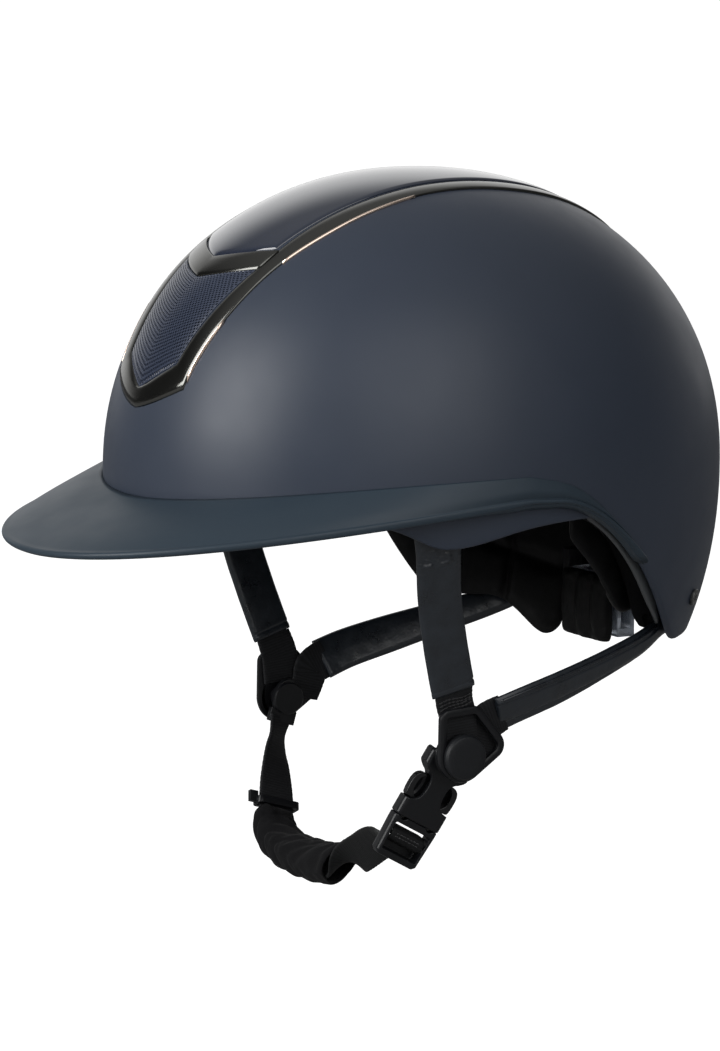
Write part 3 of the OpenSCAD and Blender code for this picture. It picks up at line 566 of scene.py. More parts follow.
def make_dome(name, outer, inner, rows, inner_rows, edge, top_t, **placing):
    points = []
    for a in columns(SHELL_COLUMNS):
        points.extend(wall(a, edge(a), outer, inner, top_t, rows, inner_rows))
    n = len(points) // SHELL_COLUMNS
    faces = grid_faces(SHELL_COLUMNS, n, wrap_rows=True)
    faces.append(tuple(k * n for k in range(SHELL_COLUMNS)))
    faces.append(tuple(k * n + n - 1 for k in range(SHELL_COLUMNS)))
    return piece(name, points, faces, "helmet", **placing)


crown = make_dome("crown_shell_smooth", 0.0, -WALL, 56, 24, rim_z, 87.5, material=shell_paint,
                  slot="shell_matt", replaces=("crown_shell",))
cut_vents(crown, 20)

# The brim, from its seam on the shell round its lip and back under the shell's edge
BRIM_REACH = 47.0
BRIM_SIDE = 2.5
BRIM_TIP_Z = -23.5
BRIM_LEVEL = -2.0
BRIM_WALL = 4.0
BRIM_POWER = 2.2
BRIM_END = 114
BRIM_ROOT = 11.9


def root_z(a):
    """Height of the brim's seam on the shell."""
    if abs(a) < 90:
        return RIM_FRONT + 0.8 + BRIM_ROOT * abs(math.sin(math.radians(a))) ** 1.6
    return rim_z(a) + (BRIM_ROOT + 0.8) * (BRIM_END - abs(a)) / (BRIM_END - 90)


def brim_tip(a):
    """The edge of the brim's lip, seen from above as the shell's plan made longer and squarer."""
    s, c = math.sin(math.radians(a)), math.cos(math.radians(a))
    if abs(a) < 90:
        power, reach = 2 / BRIM_POWER, FRONT + BRIM_REACH
        z = BRIM_TIP_Z + (BRIM_LEVEL - BRIM_TIP_Z) * (1 - c) ** 0.83
    else:
        power, reach = 2 / PLAN_POWER, REAR + BRIM_SIDE
        z = rim_z(a) + (BRIM_LEVEL - RIM_FRONT) * (BRIM_END - abs(a)) / (BRIM_END - 90)
    return np.array([(HALF_W + BRIM_SIDE) * signed_power(s, power), -reach * signed_power(c, power), z])


def brim_section(a):
    """A ring round the brim: its top from seam to lip, the round lip, its underside and the shell's edge."""
    root = on_level(a, root_z(a), 0.15)
    edge = brim_tip(a)
    run = np.array([edge[0] - root[0], edge[1] - root[1], 0.0])
    out = unit(run)
    length = float(np.linalg.norm(run))
    lip = min(BRIM_WALL, length * 0.9 + 0.4)
    up = np.array([0, 0, 1.0])
    seat = rim_z(a) - 0.3
    top = spline([root, mix(root, edge, 0.35) + up * 0.6, mix(root, edge, 0.7) + up * 0.8,
                  edge - out * lip * 0.5 + up * lip * 0.3], 5)[:-1]
    centre = edge - out * lip * 0.5 - up * lip * 0.1
    nose = [centre + out * lip * 0.5 * math.sin(math.radians(q)) + up * lip * 0.4 * math.cos(math.radians(q))
            for q in range(0, 181, 18)]
    under = on_level(a, min(seat - 1, edge[2] - lip * 0.4 + length * 0.25), -WALL + 0.2)
    under[2] = min(under[2], seat - 0.8)
    below = spline([nose[-1], mix(under, edge, 0.6) - up * lip * 0.45, under], 6)[1:]
    inside = ((seat + 0.8, -WALL + 0.4), (seat + 1.5, -1.2), (root_z(a) - 1.5, -0.4))
    return top + nose + below + [on_level(a, z, off) for z, off in inside]


brim_sections = [brim_section(a) for a in np.arange(-BRIM_END, BRIM_END + 0.1, 1.5)]
piece("brim_smooth", *loft(brim_sections), "helmet", brim_paint, "shell_matt", ("brim",))


def band_rings(a0, a1, low, high, outer, inner, step=1.5, rows=8):
    """Rings across a band of wall that follows the shell, with a rounded lower and upper edge."""
    rings = []
    for a in np.linspace(a0, a1, max(2, int(abs(a1 - a0) / step) + 1)):
        z0, z1 = low(a), high(a)
        half = (outer - inner) / 2
        ring = [on_level(a, z1 - half + (z0 + half - z1 + half) * k / rows, outer) for k in range(rows)]
        ring += [on_level(a, z, off) for off, z in edge_profile(z0, outer, inner)]
        ring += [on_level(a, z0 + half + (z1 - z0 - 2 * half) * k / rows, inner) for k in range(1, rows)]
        rings.append(ring)
    return rings


def trim_low(a):
    return rim_z(a) - 2.5 + 3 * ease(abs(a), 120, 130)


def trim_high(a):
    return rim_z(a) + 7 - 4 * ease(abs(a), 118, 130)


lower_shell = band_rings(-106, 106, low_z, lambda a: 6.0, LOWER_OUT, LOWER_OUT - LOWER_WALL)
piece("lower_shell_smooth", *loft(lower_shell), "helmet", shell_paint, "shell_matt", ("lower_shell",))
for side, sign in (("left", 1), ("right", -1)):
    trim = band_rings(sign * 103, sign * 130, trim_low, trim_high, LOWER_OUT - 0.7, LOWER_OUT - 2.3)
    piece("ear_trim_%s_smooth" % side, *loft(trim), "helmet", trim_grey, "trim_gloss_black",
          ("ear_trim_" + side,))

# Trim on the crown: outlines seen from above, one half each, from the front to the rear
FRAME_HALF = [(0, -124.3), (29.6, -116.8), (35, -98), (38.5, -76), (40.7, -55), (40, -30), (38, -10),
              (36, 8), (33, 34), (29, 52), (23, 70), (14, 92), (0, 116)]
INNER_HALF = [(0, -121.8), (20.5, -115.5), (26.5, -99), (30.5, -80), (31, -55), (30.5, -30), (29, -12),
              (26.5, 8), (22.3, 34), (18.2, 51), (13.4, 68), (8, 86), (0, 103)]
PANEL_HALF = [(30.1, -73), (30.8, -55), (30.3, -30), (28.8, -12), (26.3, 8), (22.1, 34),
              (18, 51), (13.2, 68), (7.8, 86), (1, 101.5)]
FRAME_H = 1.0
FRAME_TILT = 0.8
STRIP_EDGE = 0.7
PANEL_H = 0.9
PANEL_FRONT, PANEL_NOSE = -74.0, 13.5
CHEVRON_BOW = 1.9
GRILLE_BACK, GRILLE_NOSE = -83.5, 12.0


def bowed(u, bow):
    """How far forward a chevron's side bows out between its tip and its end."""
    return 4 * bow * abs(u) * (1 - abs(u))


def outline(half, bow, n=8):
    """A closed outline: a bowed chevron across its front, curved along its sides."""
    corner = spline(half[1:], n)
    front = [mix(half[0], half[1], k / n) - np.array([0, bowed(k / n, bow)]) for k in range(n)]
    right = front + corner
    return right + [np.array([-p[0], p[1]]) for p in right[-2:0:-1]]


def bevelled(width, high, edge, crown):
    """Places across a strip and their heights: steep sides, rounded edges, and a slightly crowned top."""
    side = [(0, -0.4), (0, high * 0.45), (0.12, high * 0.75), (0.45, high * 0.93), (edge, high)]
    middle = [(width * u, high + crown * 4 * u * (1 - u)) for u in (0.35, 0.5, 0.65)]
    return side + middle + [(width - d, h) for d, h in reversed(side)]


def strip_on_crown(outer, inner, high, crown=0.25, tilt=0.0):
    """Rings across a strip between two outlines laid on the crown, higher by tilt along the outer one."""
    rings = []
    for p, q in zip(outer, inner):
        width = float(np.linalg.norm(np.subtract(q, p)))
        ring = []
        for d, h in bevelled(width, high, min(STRIP_EDGE, width * 0.3), crown):
            lower = tilt * (d / width - 0.1) if h > 0 else 0
            ring.append(over(mix(p, q, d / width), h - lower))
        rings.append(ring)
    return rings


frame_outer, frame_inner = outline(FRAME_HALF, 1.7), outline(INNER_HALF, 0.9)
frame_rings = strip_on_crown(frame_outer, frame_inner, FRAME_H, tilt=FRAME_TILT)
piece("grille_frame_fine", *loft(frame_rings, around=True), "helmet", gunmetal, "frame_metal",
      ("grille_frame",))


def v_row(y, half_w, nose, n=24):
    """A chevron across the crown: its tip lies nose ahead of its ends."""
    return [np.array([half_w * k / n, y - nose * (1 - abs(k / n)) - bowed(k / n, CHEVRON_BOW)])
            for k in range(-n, n + 1)]


bar_front = v_row(GRILLE_BACK + 0.2, 31.5, GRILLE_NOSE)
bar_rear = v_row(PANEL_FRONT - 0.2, 31.8, PANEL_NOSE)
bar_rings = strip_on_crown(bar_front, bar_rear, FRAME_H, crown=0.1)
piece("frame_crossbar_fine", *loft(bar_rings), "helmet", gunmetal, "frame_metal", ("frame_crossbar",))

# A light metal line along the frame's outer edge, in two lengths on each side where the edge catches the
# light: a painted highlight on the frame's edge
LINE_W = 0.55
HIGHLIGHT_LENGTHS = ((-116.6, -98.5), (-76.0, -13.0))


def pushed_out(path, d):
    out = []
    for i, p in enumerate(path):
        along = unit(np.subtract(path[(i + 1) % len(path)], path[i - 1]))
        out.append(np.asarray(p) + d * np.array([along[1], -along[0]]))
    return out


line_out, line_in = pushed_out(frame_outer, LINE_W), pushed_out(frame_outer, -0.15)
LINE_PROFILE = ((0, -0.3), (0, 0.75), (0.3, 1.05), (0.7, 1.05), (1, 0.75), (1, -0.3))
line_rings = []
for sign in (1, -1):
    for y0, y1 in HIGHLIGHT_LENGTHS:
        lengths = [(a, b) for a, b in zip(line_out, line_in) if y0 <= b[1] <= y1 and sign * b[0] > 1]
        line_rings.append([[over(mix(a, b, share), h) for share, h in LINE_PROFILE] for a, b in lengths])
piece("painted_highlight_line_fine", *joined(loft(rings) for rings in line_rings), "helmet", highlight_metal, "accent",
      ("accent_line",))

# The glossy panel: its border, how far back its chevron fades out, and how many places lie across half of it
PANEL_BORDER = (0.0, 0.05, 0.3, 0.8, 1.6, 3.0)
PANEL_FADE = 36
PANEL_ACROSS = 24


def panel_rows():
    """Rows across the glossy panel, closer together at its border, with each place's distance from it."""
    sides = spline(PANEL_HALF, 8)
    ys = np.array([p[1] for p in sides])
    ws = np.array([p[0] for p in sides])
    order = np.argsort(ys)
    y_end = float(ys.max())
    steps = [PANEL_FRONT + b for b in PANEL_BORDER]
    steps += list(np.linspace(PANEL_FRONT + 5, y_end - 4, 56))
    steps += [y_end - b for b in reversed(PANEL_BORDER)]
    rows = []
    for y in steps:
        half = float(np.interp(y, ys[order], ws[order])) - 0.3
        fade = max(0.0, 1 - (y - PANEL_FRONT) / PANEL_FADE)
        edge = min(y - PANEL_FRONT, y_end - y)
        across = [half * math.copysign(1 - (1 - abs(k) / PANEL_ACROSS) ** 1.6, k)
                  for k in range(-PANEL_ACROSS, PANEL_ACROSS + 1)]
        row = []
        for x in across:
            ahead = fade * (PANEL_NOSE * (1 - abs(x) / half) + bowed(x / half, CHEVRON_BOW))
            row.append((np.array([x, y - ahead]), edge, half - abs(x)))
        rows.append(row)
    return rows


def panel_height(edge, side):
    d = min(edge, side)
    return PANEL_H * (1 - max(0.0, 1 - d / 1.3) ** 2.6 * 0.75) + 0.35 * (1 - math.exp(-d / 9))


panel_rings = []
for row in panel_rows():
    top = [over(p, panel_height(edge, side)) for p, edge, side in row]
    panel_rings.append(top + [over(p, -0.3) for p, edge, side in reversed(row)])
piece("top_panel_fine", *loft(panel_rings), "helmet", panel_paint, "panel_gloss", ("top_panel",))

# The grille: a thin crowned sheet with staggered holes
HOLE_PITCH = 1.6
HOLE_SHARE = 0.36
NET_W, NET_L = 58, 52
NET_FRONT, NET_FRONT_HALF, NET_FRONT_NOSE, NET_FRONT_BOW = -115.2, 21.2, 7, 0.9
NET_BACK, NET_BACK_HALF = GRILLE_BACK - 0.3, 30.8
CELL_RING = ((0, 0), (1, 0), (2, 0), (2, 1), (2, 2), (1, 2), (0, 2), (0, 1))


def net_at(u, v):
    """A place on the sheet, seen from above, by its shares across and back."""
    half = NET_FRONT_HALF + (NET_BACK_HALF - NET_FRONT_HALF) * v
    y = NET_FRONT + (NET_BACK - NET_FRONT) * v
    nose = NET_FRONT_NOSE + (GRILLE_NOSE - NET_FRONT_NOSE) * v
    bow = NET_FRONT_BOW + (CHEVRON_BOW - NET_FRONT_BOW) * v
    side = 2 * u - 1
    return (side * half, y - nose * (1 - abs(side)) - bowed(side, bow))


def make_grille():
    """A sheet of square cells with a round hole in each; every second row is shifted by half a cell."""
    across, up = int(NET_W / HOLE_PITCH), int(NET_L / HOLE_PITCH)
    reach = 2 * HOLE_SHARE
    points, faces, found = [], [], {}

    def point(i, j):
        """The number of a point of the pattern, counted in half cells."""
        key = (round(i, 3), round(j, 3))
        if key not in found:
            u, v = i / (2 * across), j / (2 * up)
            bulge = 0.3 + 0.6 * (1 - (2 * u - 1) ** 6) * (4 * v * (1 - v)) ** 0.3
            found[key] = len(points)
            points.append(over(net_at(u, v), bulge))
        return found[key]

    for row in range(0, 2 * up, 2):
        shift = row // 2 % 2
        for cell in range(-shift, 2 * across, 2):
            if cell < 0 or cell + 2 > 2 * across:
                low, high = max(0, cell), min(2 * across, cell + 2)
                faces.append((point(low, row), point(high, row), point(high, row + 2), point(low, row + 2)))
                continue
            outer = [point(cell + x, row + y) for x, y in CELL_RING]
            turns = [math.radians(225 + 45 * k) for k in range(8)]
            hole = [point(cell + 1 + reach * math.cos(q), row + 1 + reach * math.sin(q)) for q in turns]
            faces += [(outer[k], outer[(k + 1) % 8], hole[(k + 1) % 8], hole[k]) for k in range(8)]
    return points, faces


grille = piece("vent_grille_fine", *make_grille(), "helmet", mesh_paint, "grille", ("vent_grille",), False)
modifier(grille, "SOLIDIFY", thickness=0.45 * MM, offset=-1.0)


# Impact liner: a smooth foam dome with pockets for the straps' ends and the dial
STRAP_A, SCREW_A = 72.6, 140.0
DIAL_Z = -66.0
DIAL_Y = float(on_level(180, DIAL_Z, LINER_IN)[1]) - 5.5
KNOB_R = 12.0
LINER_TOP = 86.0
ANCHOR_POCKET, SCREW_POCKET, DIAL_POCKET = (12, 30, 30), (18, 36, 44), (2 * KNOB_R + 8, 16, 40)
liner = make_dome("impact_liner_smooth", LOWER_OUT - LOWER_WALL - 0.3, LINER_IN, 40, 30, liner_z, LINER_TOP,
                  material=foam, slot="liner_foam", replaces=("impact_liner",))
cut_vents(liner, 60)
for sign in (1, -1):
    for size, a, z, off in ((ANCHOR_POCKET, STRAP_A, -11, -10), (SCREW_POCKET, SCREW_A, -60, -8)):
        carve(liner, boxed(size, at(on_level(sign * a, z, off), (sign * (a - 90), "Z"))))
carve(liner, boxed(DIAL_POCKET, at((0, DIAL_Y + 6, DIAL_Z - 4))))
sharpened(liner, 35)


# Padding: each pad is a closed grid, stitched down along its border and channels, and puffed as cloth

CLOTH_SCALE = 25.0
PUFF_FRAMES = 20
PAD_FILL = 0.6
pads = []


def plan_pad(name, points, faces, pinned, slack, cap, body, material, slot="pad_fabric"):
    """Sets out a pad for the simulation; pinned holds the numbers of the points that are sewn down."""
    mesh = mesh_of(name + "_cloth", points, faces, CLOTH_SCALE)
    outward_faces(mesh)
    obj = linked(name + "_cloth", mesh)
    obj.vertex_groups.new(name="sewn").add([int(k) for k in pinned], 1.0, "REPLACE")
    cloth = modifier(obj, "CLOTH")
    cloth.point_cache.frame_start, cloth.point_cache.frame_end = 1, PUFF_FRAMES
    settings = cloth.settings
    settings.vertex_group_mass = "sewn"
    settings.use_pressure = True
    settings.uniform_pressure_force = 4.0
    settings.shrink_min = -slack
    settings.effector_weights.gravity = 0
    pads.append((name, points, faces, obj, cap, PAD_FILL, (body, material, slot)))


def puff_pads():
    """Runs the cloth for all pads at once and makes the finished pieces from it."""
    for number in range(1, PUFF_FRAMES + 1):
        bpy.context.scene.frame_set(number)
    depsgraph = bpy.context.evaluated_depsgraph_get()
    for name, points, faces, obj, cap, fill, placing in pads:
        start = np.array(points, float)
        moved = obj.evaluated_get(depsgraph).to_mesh()
        where = np.zeros(len(moved.vertices) * 3)
        moved.vertices.foreach_get("co", where)
        shift = where.reshape(-1, 3) / (MM * CLOTH_SCALE) - start
        far = np.linalg.norm(shift, axis=1)
        shift *= np.minimum(1, cap / np.maximum(far, 1e-6))[:, None]
        mesh = obj.data
        bpy.data.objects.remove(obj)
        bpy.data.meshes.remove(mesh)
        made = piece(name, start + shift, faces, *placing, (name.replace("_soft", ""),))
        modifier(made, "SUBSURF", levels=1, render_levels=1)
        apply_modifiers(made)
        made.data.polygons.foreach_set("use_smooth", [True] * len(made.data.polygons))
    bpy.context.scene.frame_set(1)


PAD_T = 7.0
PAD_OUT = LINER_IN - 1.5 * SKIN_GAP
PAD_CELL = 2.2
PAD_CORNER = 0.1
PAD_RADIUS = 118
CROWN_PAD_LOW = 68.0
PETALS = 6
PAD_BELT = 0.55


def thinned(u, puff=0.65):
    """A pad's thickness, as a share, from one border to the other."""
    return 1 - puff + puff * max(0.0, 1 - abs(2 * u - 1) ** 3) ** 0.6


def groove(value, lines, scale, width):
    """How near a value is to the nearest of some sewn lines: 1 on it, and soon 0 beside it."""
    return bell(min([abs(value - line) for line in lines] + [1.0]) * scale, 0, width)


def band_pad(name, a0, a1, low, high, outer, inner, channels, body, material=lining, cross=(), cap=2.0):
    """A pad on the liner between two plan angles and two height lines, sewn along upright channels."""
    reach = abs(math.radians(a1 - a0)) * PAD_RADIUS
    across = max(12, int(reach / PAD_CELL))
    middle = (a0 + a1) / 2
    up = max(8, int(abs(high(middle) - low(middle)) / PAD_CELL))
    rings, sewn = [], []
    ring_size = 2 * up + 2
    for i in range(across + 1):
        u = i / across
        a = a0 + (a1 - a0) * u
        tuck = min(1.0, u / PAD_CORNER, (1 - u) / PAD_CORNER)
        short = 0.5 - 0.5 * math.sqrt(max(0.0, 1 - (1 - tuck) ** 2)) if tuck < 1 else 0.0
        z0, z1 = low(a), high(a)
        z0, z1 = z0 + (z1 - z0) * short * 0.15, z1 - (z1 - z0) * short * 0.5
        on_seam = i in (0, across) or any(abs(i - round(c * across)) < 1 for c in channels)
        dip = 1 - 0.55 * groove(u, channels, reach, 2.0)
        ring = []
        for k in range(up + 1):
            ring.append(on_level(a, z0 + (z1 - z0) * k / up, outer))
            sewn.append(len(rings) * ring_size + k)
        for k in range(up, -1, -1):
            v = k / up
            depth = thinned(u) * thinned(v) * dip * (1 - 0.5 * groove(v, cross, up * PAD_CELL, 1.8))
            ring.append(on_level(a, z0 + (z1 - z0) * v, outer + (inner - outer) * depth))
            if on_seam or k in (0, up) or any(abs(k - round(c * up)) < 1 for c in cross):
                sewn.append(len(rings) * ring_size + up + 1 + (up - k))
        rings.append(ring)
    points, faces = loft(rings, close_ends=False)
    for first in (0, across * ring_size):
        last = first + ring_size - 1
        faces += [(first + k, first + k + 1, last - 1 - k, last - k) for k in range(up)]
    plan_pad(name, points, faces, sewn, 0.06, cap, body, material)


def crown_pad():
    """The crown pad, from its edge up to the top of the head, in six sewn petals."""
    around, rows = 72, 14
    rings, sewn = [], []
    levels = [("out", 1 - k / rows) for k in range(rows)] + [("in", k / rows) for k in range(rows + 1)]
    size = len(levels)
    t_low = rise(CROWN_PAD_LOW, PAD_OUT)
    for j, a in enumerate(columns(around)):
        petal = abs(((a * PETALS / 360.0) % 1.0) - 0.5) * 2
        seam = bell((1 - petal) * 14, 0, 2.4)
        ring = []
        for n, (side, share) in enumerate(levels):
            depth = 0.0
            if side == "in":
                belt = bell((share - PAD_BELT) * 40, 0, 2.2)
                depth = (0.3 + 0.7 * min(1.0, share / 0.12)) * (1 - 0.5 * max(seam, belt))
            t = t_low + (LINER_TOP - t_low) * share ** 0.9
            ring.append(on_shell(a, t, PAD_OUT - (PAD_T - 1.0) * depth))
            if side == "out" or seam > 0.6 or abs(share - PAD_BELT) < 0.5 / rows or share == 0:
                sewn.append(j * size + n)
        rings.append(ring)
    points, faces = loft(rings, close_ends=False, around=True)
    faces = [f for f in faces if not (f[0] % size == size - 1 or f[1] % size == 0)]
    faces += [tuple(j * size + n for j in range(around)) for n in (0, size - 1)]
    plan_pad("crown_pad_soft", points, faces, sewn, 0.05, 2.0, "helmet", lining)


NAPE_FROM = 106.0
NAPE_TO = 160.3
ARM_OUT = LINER_IN - 0.7
ARM_T = 1.6


def nape_high(a):
    return 16 - 44 * ease(abs(a), NAPE_FROM - 1, EAR_TO)


def nape_low(a):
    """The nape pads' lower edges: the left pad sits higher than the right one, as photographed."""
    if a > 0:
        return -20 - 41 * ease(a, 98, 134)
    return -20 - 49 * ease(-a, 96, 122) - 15 * ease(-a, 134, 157)


crown_pad()
BAND_IN = PAD_OUT - PAD_T + 1.2
NAPE_OUT, NAPE_IN = ARM_OUT - ARM_T - 0.2, ARM_OUT - ARM_T - PAD_T + 2.2
band_pad("brow_pad_soft", -58, 58, lambda a: -6.0, lambda a: 24.0, PAD_OUT, BAND_IN,
         (0.2, 0.35, 0.5, 0.65, 0.8), "helmet")
for side, sign in (("left", 1), ("right", -1)):
    band_pad("temple_pad_%s_soft" % side, sign * 62, sign * 100, lambda a: liner_z(a) + 1, lambda a: 22.0,
             PAD_OUT, BAND_IN, (0.33, 0.66), "helmet")
    band_pad("nape_pad_%s_soft" % side, sign * NAPE_FROM, sign * NAPE_TO, nape_low, nape_high, NAPE_OUT,
             NAPE_IN, (0.3, 0.62), "nape_arm_" + side, lining_leather, (0.5,), 1.2)

RACK_Y = DIAL_Y - 4.4
HOUSING_W = 38.0
HOUSING_H = 26.0


def center_pad():
    """The stuffed block behind the dial, sewn round its edge and down its middle."""
    rows, around = 24, 32
    rings, sewn = [], []
    for i in range(rows + 1):
        u = 2 * i / rows - 1
        s = 0.45 + 0.55 * max(0.0, 1 - abs(u) ** 4) ** 0.5
        dip = 1 - 0.35 * bell((abs(u) - 0.33) * 16, 0, 1.8)
        ring = []
        for k in range(around):
            c, e = math.cos(2 * math.pi * k / around), math.sin(2 * math.pi * k / around)
            thick = signed_power(c, 0.6) * 3.3 * s * (dip if c < 0 else 1)
            high = signed_power(e, 0.6) * (HOUSING_H + 3) / 2 * (0.85 + 0.15 * s)
            ring.append(np.array([u * HOUSING_W / 2, RACK_Y - 8 + thick, DIAL_Z - 1 + high]))
            if c > 0.35 or abs(e) > 0.97 or i in (0, rows) or abs(abs(u) - 0.33) < 0.05:
                sewn.append(i * around + k)
        rings.append(ring)
    plan_pad("nape_center_pad_soft", *loft(rings), sewn, 0.05, 1.0, "helmet", lining_leather)


center_pad()


# Lines and sections for the straps

def along_line(rows, step):
    """Rows of numbers, a place first, on a smooth line at equal distances."""
    fine = np.array(spline(rows, 16))
    gone = distances(fine)
    here = np.linspace(0, gone[-1], max(3, int(gone[-1] / step) + 1))
    return np.stack([np.interp(here, gone, column) for column in fine.T], axis=1)


def distances(rows):
    return np.append(0, np.cumsum(np.linalg.norm(np.diff(rows[:, :3], axis=0), axis=1)))


def frames(rows):
    """Directions along the line, across the strap and out of its face. A row holds the second as 3 to 5."""
    along = np.gradient(rows[:, :3], axis=0)
    along /= np.linalg.norm(along, axis=1)[:, None]
    side = rows[:, 3:6] - along * np.sum(rows[:, 3:6] * along, axis=1)[:, None]
    side /= np.linalg.norm(side, axis=1)[:, None]
    return along, side, np.cross(along, side)


def flat_ring(w, t, n=14, edge=5):
    """Places across a strap and out of it: its outer face, a round edge, its inner face, the other edge."""
    face = [(-(w - t) + 2 * (w - t) * k / n, t) for k in range(n + 1)]
    turn = [(w - t + t * math.sin(q), t * math.cos(q)) for q in np.linspace(0, math.pi, edge + 2)[1:-1]]
    return face + turn + [(-u, -v) for u, v in face] + [(-u, -v) for u, v in turn]


def sweep(rows, shape, sides=14):
    """Rings along rows; shape(k, gone, u, v) gives the place across and out for each point."""
    along, side, out = frames(rows)
    gone = distances(rows)
    rings = []
    for k, row in enumerate(rows):
        ring = []
        for u, v in flat_ring(row[6], row[7], sides):
            u, v = shape(k, gone[k], u, v)
            ring.append(row[:3] + side[k] * u + out[k] * v)
        rings.append(ring)
    return rings


def strap_piece(name, rings, body, material, slot, replaces=(), mirrored=False):
    if mirrored:
        rings = [[p * np.array([-1, 1, 1]) for p in ring] for ring in rings]
    return piece(name, *loft(rings), body, material, slot, replaces, uvs=ring_uvs(rings))


RIB_PITCH = 1.15
RIB_DEPTH = 0.13


def ribbed(rows):
    """Webbing: raised cords across its faces, and a plain selvedge whose width ripples slightly along it."""
    def shape(k, gone, u, v):
        half, t = rows[k][6], rows[k][7]
        rib = RIB_DEPTH * math.cos(2 * math.pi * gone / RIB_PITCH)
        if abs(u) > half - t * 1.01:
            return u * (1 + 0.006 * math.cos(math.pi * gone / RIB_PITCH)), v
        return u, v + math.copysign(rib, v)
    return sweep(rows, shape)


def fine_rows(rows):
    return along_line(rows, 0.2)


def row_of(place, direction, half_w, half_t):
    return np.array([*place, *unit(direction), half_w, half_t], float)


def tube_rings(path, radius, sides):
    along = np.gradient(path, axis=0)
    along /= np.linalg.norm(along, axis=1)[:, None]
    first = unit(np.cross(along[0], (0.31, 0.77, 0.55)))
    rings = []
    for k, p in enumerate(path):
        first = unit(first - along[k] * np.dot(first, along[k]))
        second = np.cross(along[k], first)
        thin = radius * (0.55 if k in (0, len(path) - 1) else 1.0)
        rings.append([p + first * thin * math.cos(q) + second * thin * math.sin(q)
                      for q in np.linspace(0, 2 * math.pi, sides + 1)[:-1]])
    return rings


def tubes(paths, radius, sides=8):
    """Round threads along short paths, in one mesh."""
    return joined(loft(tube_rings(np.array(path, float), radius, sides)) for path in paths)


def stitch_paths(line, out, length, gap, lift):
    """Stitches along a line on a face: each rises from the cloth and dips back into it."""
    line = np.array(line, float)
    gone = distances(line)
    paths = []
    at_mm = gap
    while at_mm + length < gone[-1]:
        shown = []
        for u in (0, 0.2, 0.5, 0.8, 1):
            p = np.array([np.interp(at_mm + length * u, gone, line[:, c]) for c in range(3)])
            shown.append(p + np.asarray(out) * lift * (0.1 + 0.9 * math.sin(math.pi * u)))
        paths.append(shown)
        at_mm += length + gap
    return paths


# Front and rear straps with their leather covers

DISC_R = 9.5
HUB = np.array([0.0, -15.5, -110.6])
HUB_R = 5.0
RING_X = HALF_W - 30
RING_T = 2.6
EYE_X = RING_X - 6.5
EYE_T = 2.7
EYE_R = HUB_R + 3.5
WEB_W, WEB_T = 17.0, 1.6
COVER_W, COVER_T = WEB_W + 2.5, 3.8
FRONT_WEB_X = RING_X - WEB_T / 2 - 0.3
REAR_WEB_X = FRONT_WEB_X - WEB_T - 0.2
TOP_DIR, FRONT_DIR = (0.2, 0.95, 0.2), (0.12, 0.96, 0.22)

front_places = [on_level(STRAP_A, -8, -11), on_level(STRAP_A + 1, -22, -11.7), (RING_X + 9, -30.5, -42),
                (RING_X + 4.5, -25, -64), (RING_X + 0.7, -19.2, -83.5)]
cover_rows = along_line([row_of(p, TOP_DIR if p[2] > -30 else FRONT_DIR, COVER_W / 2, COVER_T / 2)
                         for p in front_places], 0.5)
cover_length = distances(cover_rows)[-1]
HEM = 3.0
WORN_AT, WORN_LENGTH = 18.5, 4.5


def cover_shape(k, gone, u, v):
    """A folded leather sleeve: creased at its top, with a hem near its rounded end."""
    left = cover_length - gone
    wear = 1.2 * bell(gone, WORN_AT, WORN_LENGTH) + 0.05
    fold = noise.noise(Vector((u * 0.16, gone * 0.42, 3.1)))
    fold = fold + 0.6 * noise.noise(Vector((u * 0.4, gone * 0.9, 7.7)))
    body = COVER_T / 2 - 0.75 + 0.45 * (1 - (u / (COVER_W / 2)) ** 4)
    v = math.copysign(1, v) * min(abs(v), body) if abs(u) < COVER_W / 2 - 1.2 else v * 0.66
    v += math.copysign(wear * fold, v) if abs(u) < COVER_W / 2 - 0.8 else 0
    hem = 0.32 * bell(left, HEM, 0.45)
    lip = 1 - 0.55 * max(0.0, 1 - left / 0.9) ** 2
    notch = 0.4 * bell(left, HEM, 0.5) if u > COVER_W / 2 - 2 else 0.0
    edge = 0.12 * noise.noise(Vector((gone * 0.12, 1.7, 0.0)))
    return u * (1 - 0.012 * max(0.0, 1 - left / 1.2)) - notch + edge, (v - math.copysign(hem, v)) * lip


FRONT_WEB_WAY = [((RING_X + 0.6, -19.1, -83.0), 0.12), ((FRONT_WEB_X + 0.2, -17.9, -88), 0.03),
                 ((FRONT_WEB_X, -16.6, -93), 0), ((FRONT_WEB_X, -15.6, HUB[2] + HUB_R + 2), 0)]
front_web_rows = fine_rows([row_of(p, (turn, *FRONT_DIR[1:]), WEB_W / 2, WEB_T / 2)
                            for p, turn in FRONT_WEB_WAY])

REAR_DIR = (0.42, -0.25, 0.88)
REAR_START = np.array([RING_X - 2.8, 3, -95.6])
REAR_END = on_level(SCREW_A, -62, -WALL - 5)
REAR_WAY = [(0, 0, 0, 9.05, 1.9), (0.14, 2.7, -0.6, 8.75, 2.3), (0.35, 3.9, -2.6, 8.3, 2.6),
            (0.59, 2.8, -4.6, 7.2, 2.8), (0.83, 0.2, -6.1, 6.2, 2.8), (0.95, -1.8, -4.9, 6, 2.3)]
rear_rows = [row_of(mix(REAR_START, REAR_END, share) + (bow, 0, down), REAR_DIR, w, t)
             for share, bow, down, w, t in REAR_WAY]
rear_rows += [row_of(on_level(SCREW_A, z, -WALL - 4 + (z + 52) * 0.1), (-0.7, 0.6, 0.3), 6, 1.8)
              for z in (-62, -52)]
rear_rows = along_line(rear_rows, 0.5)
PIPING_IN, PIPING_R = 1.7, 0.75


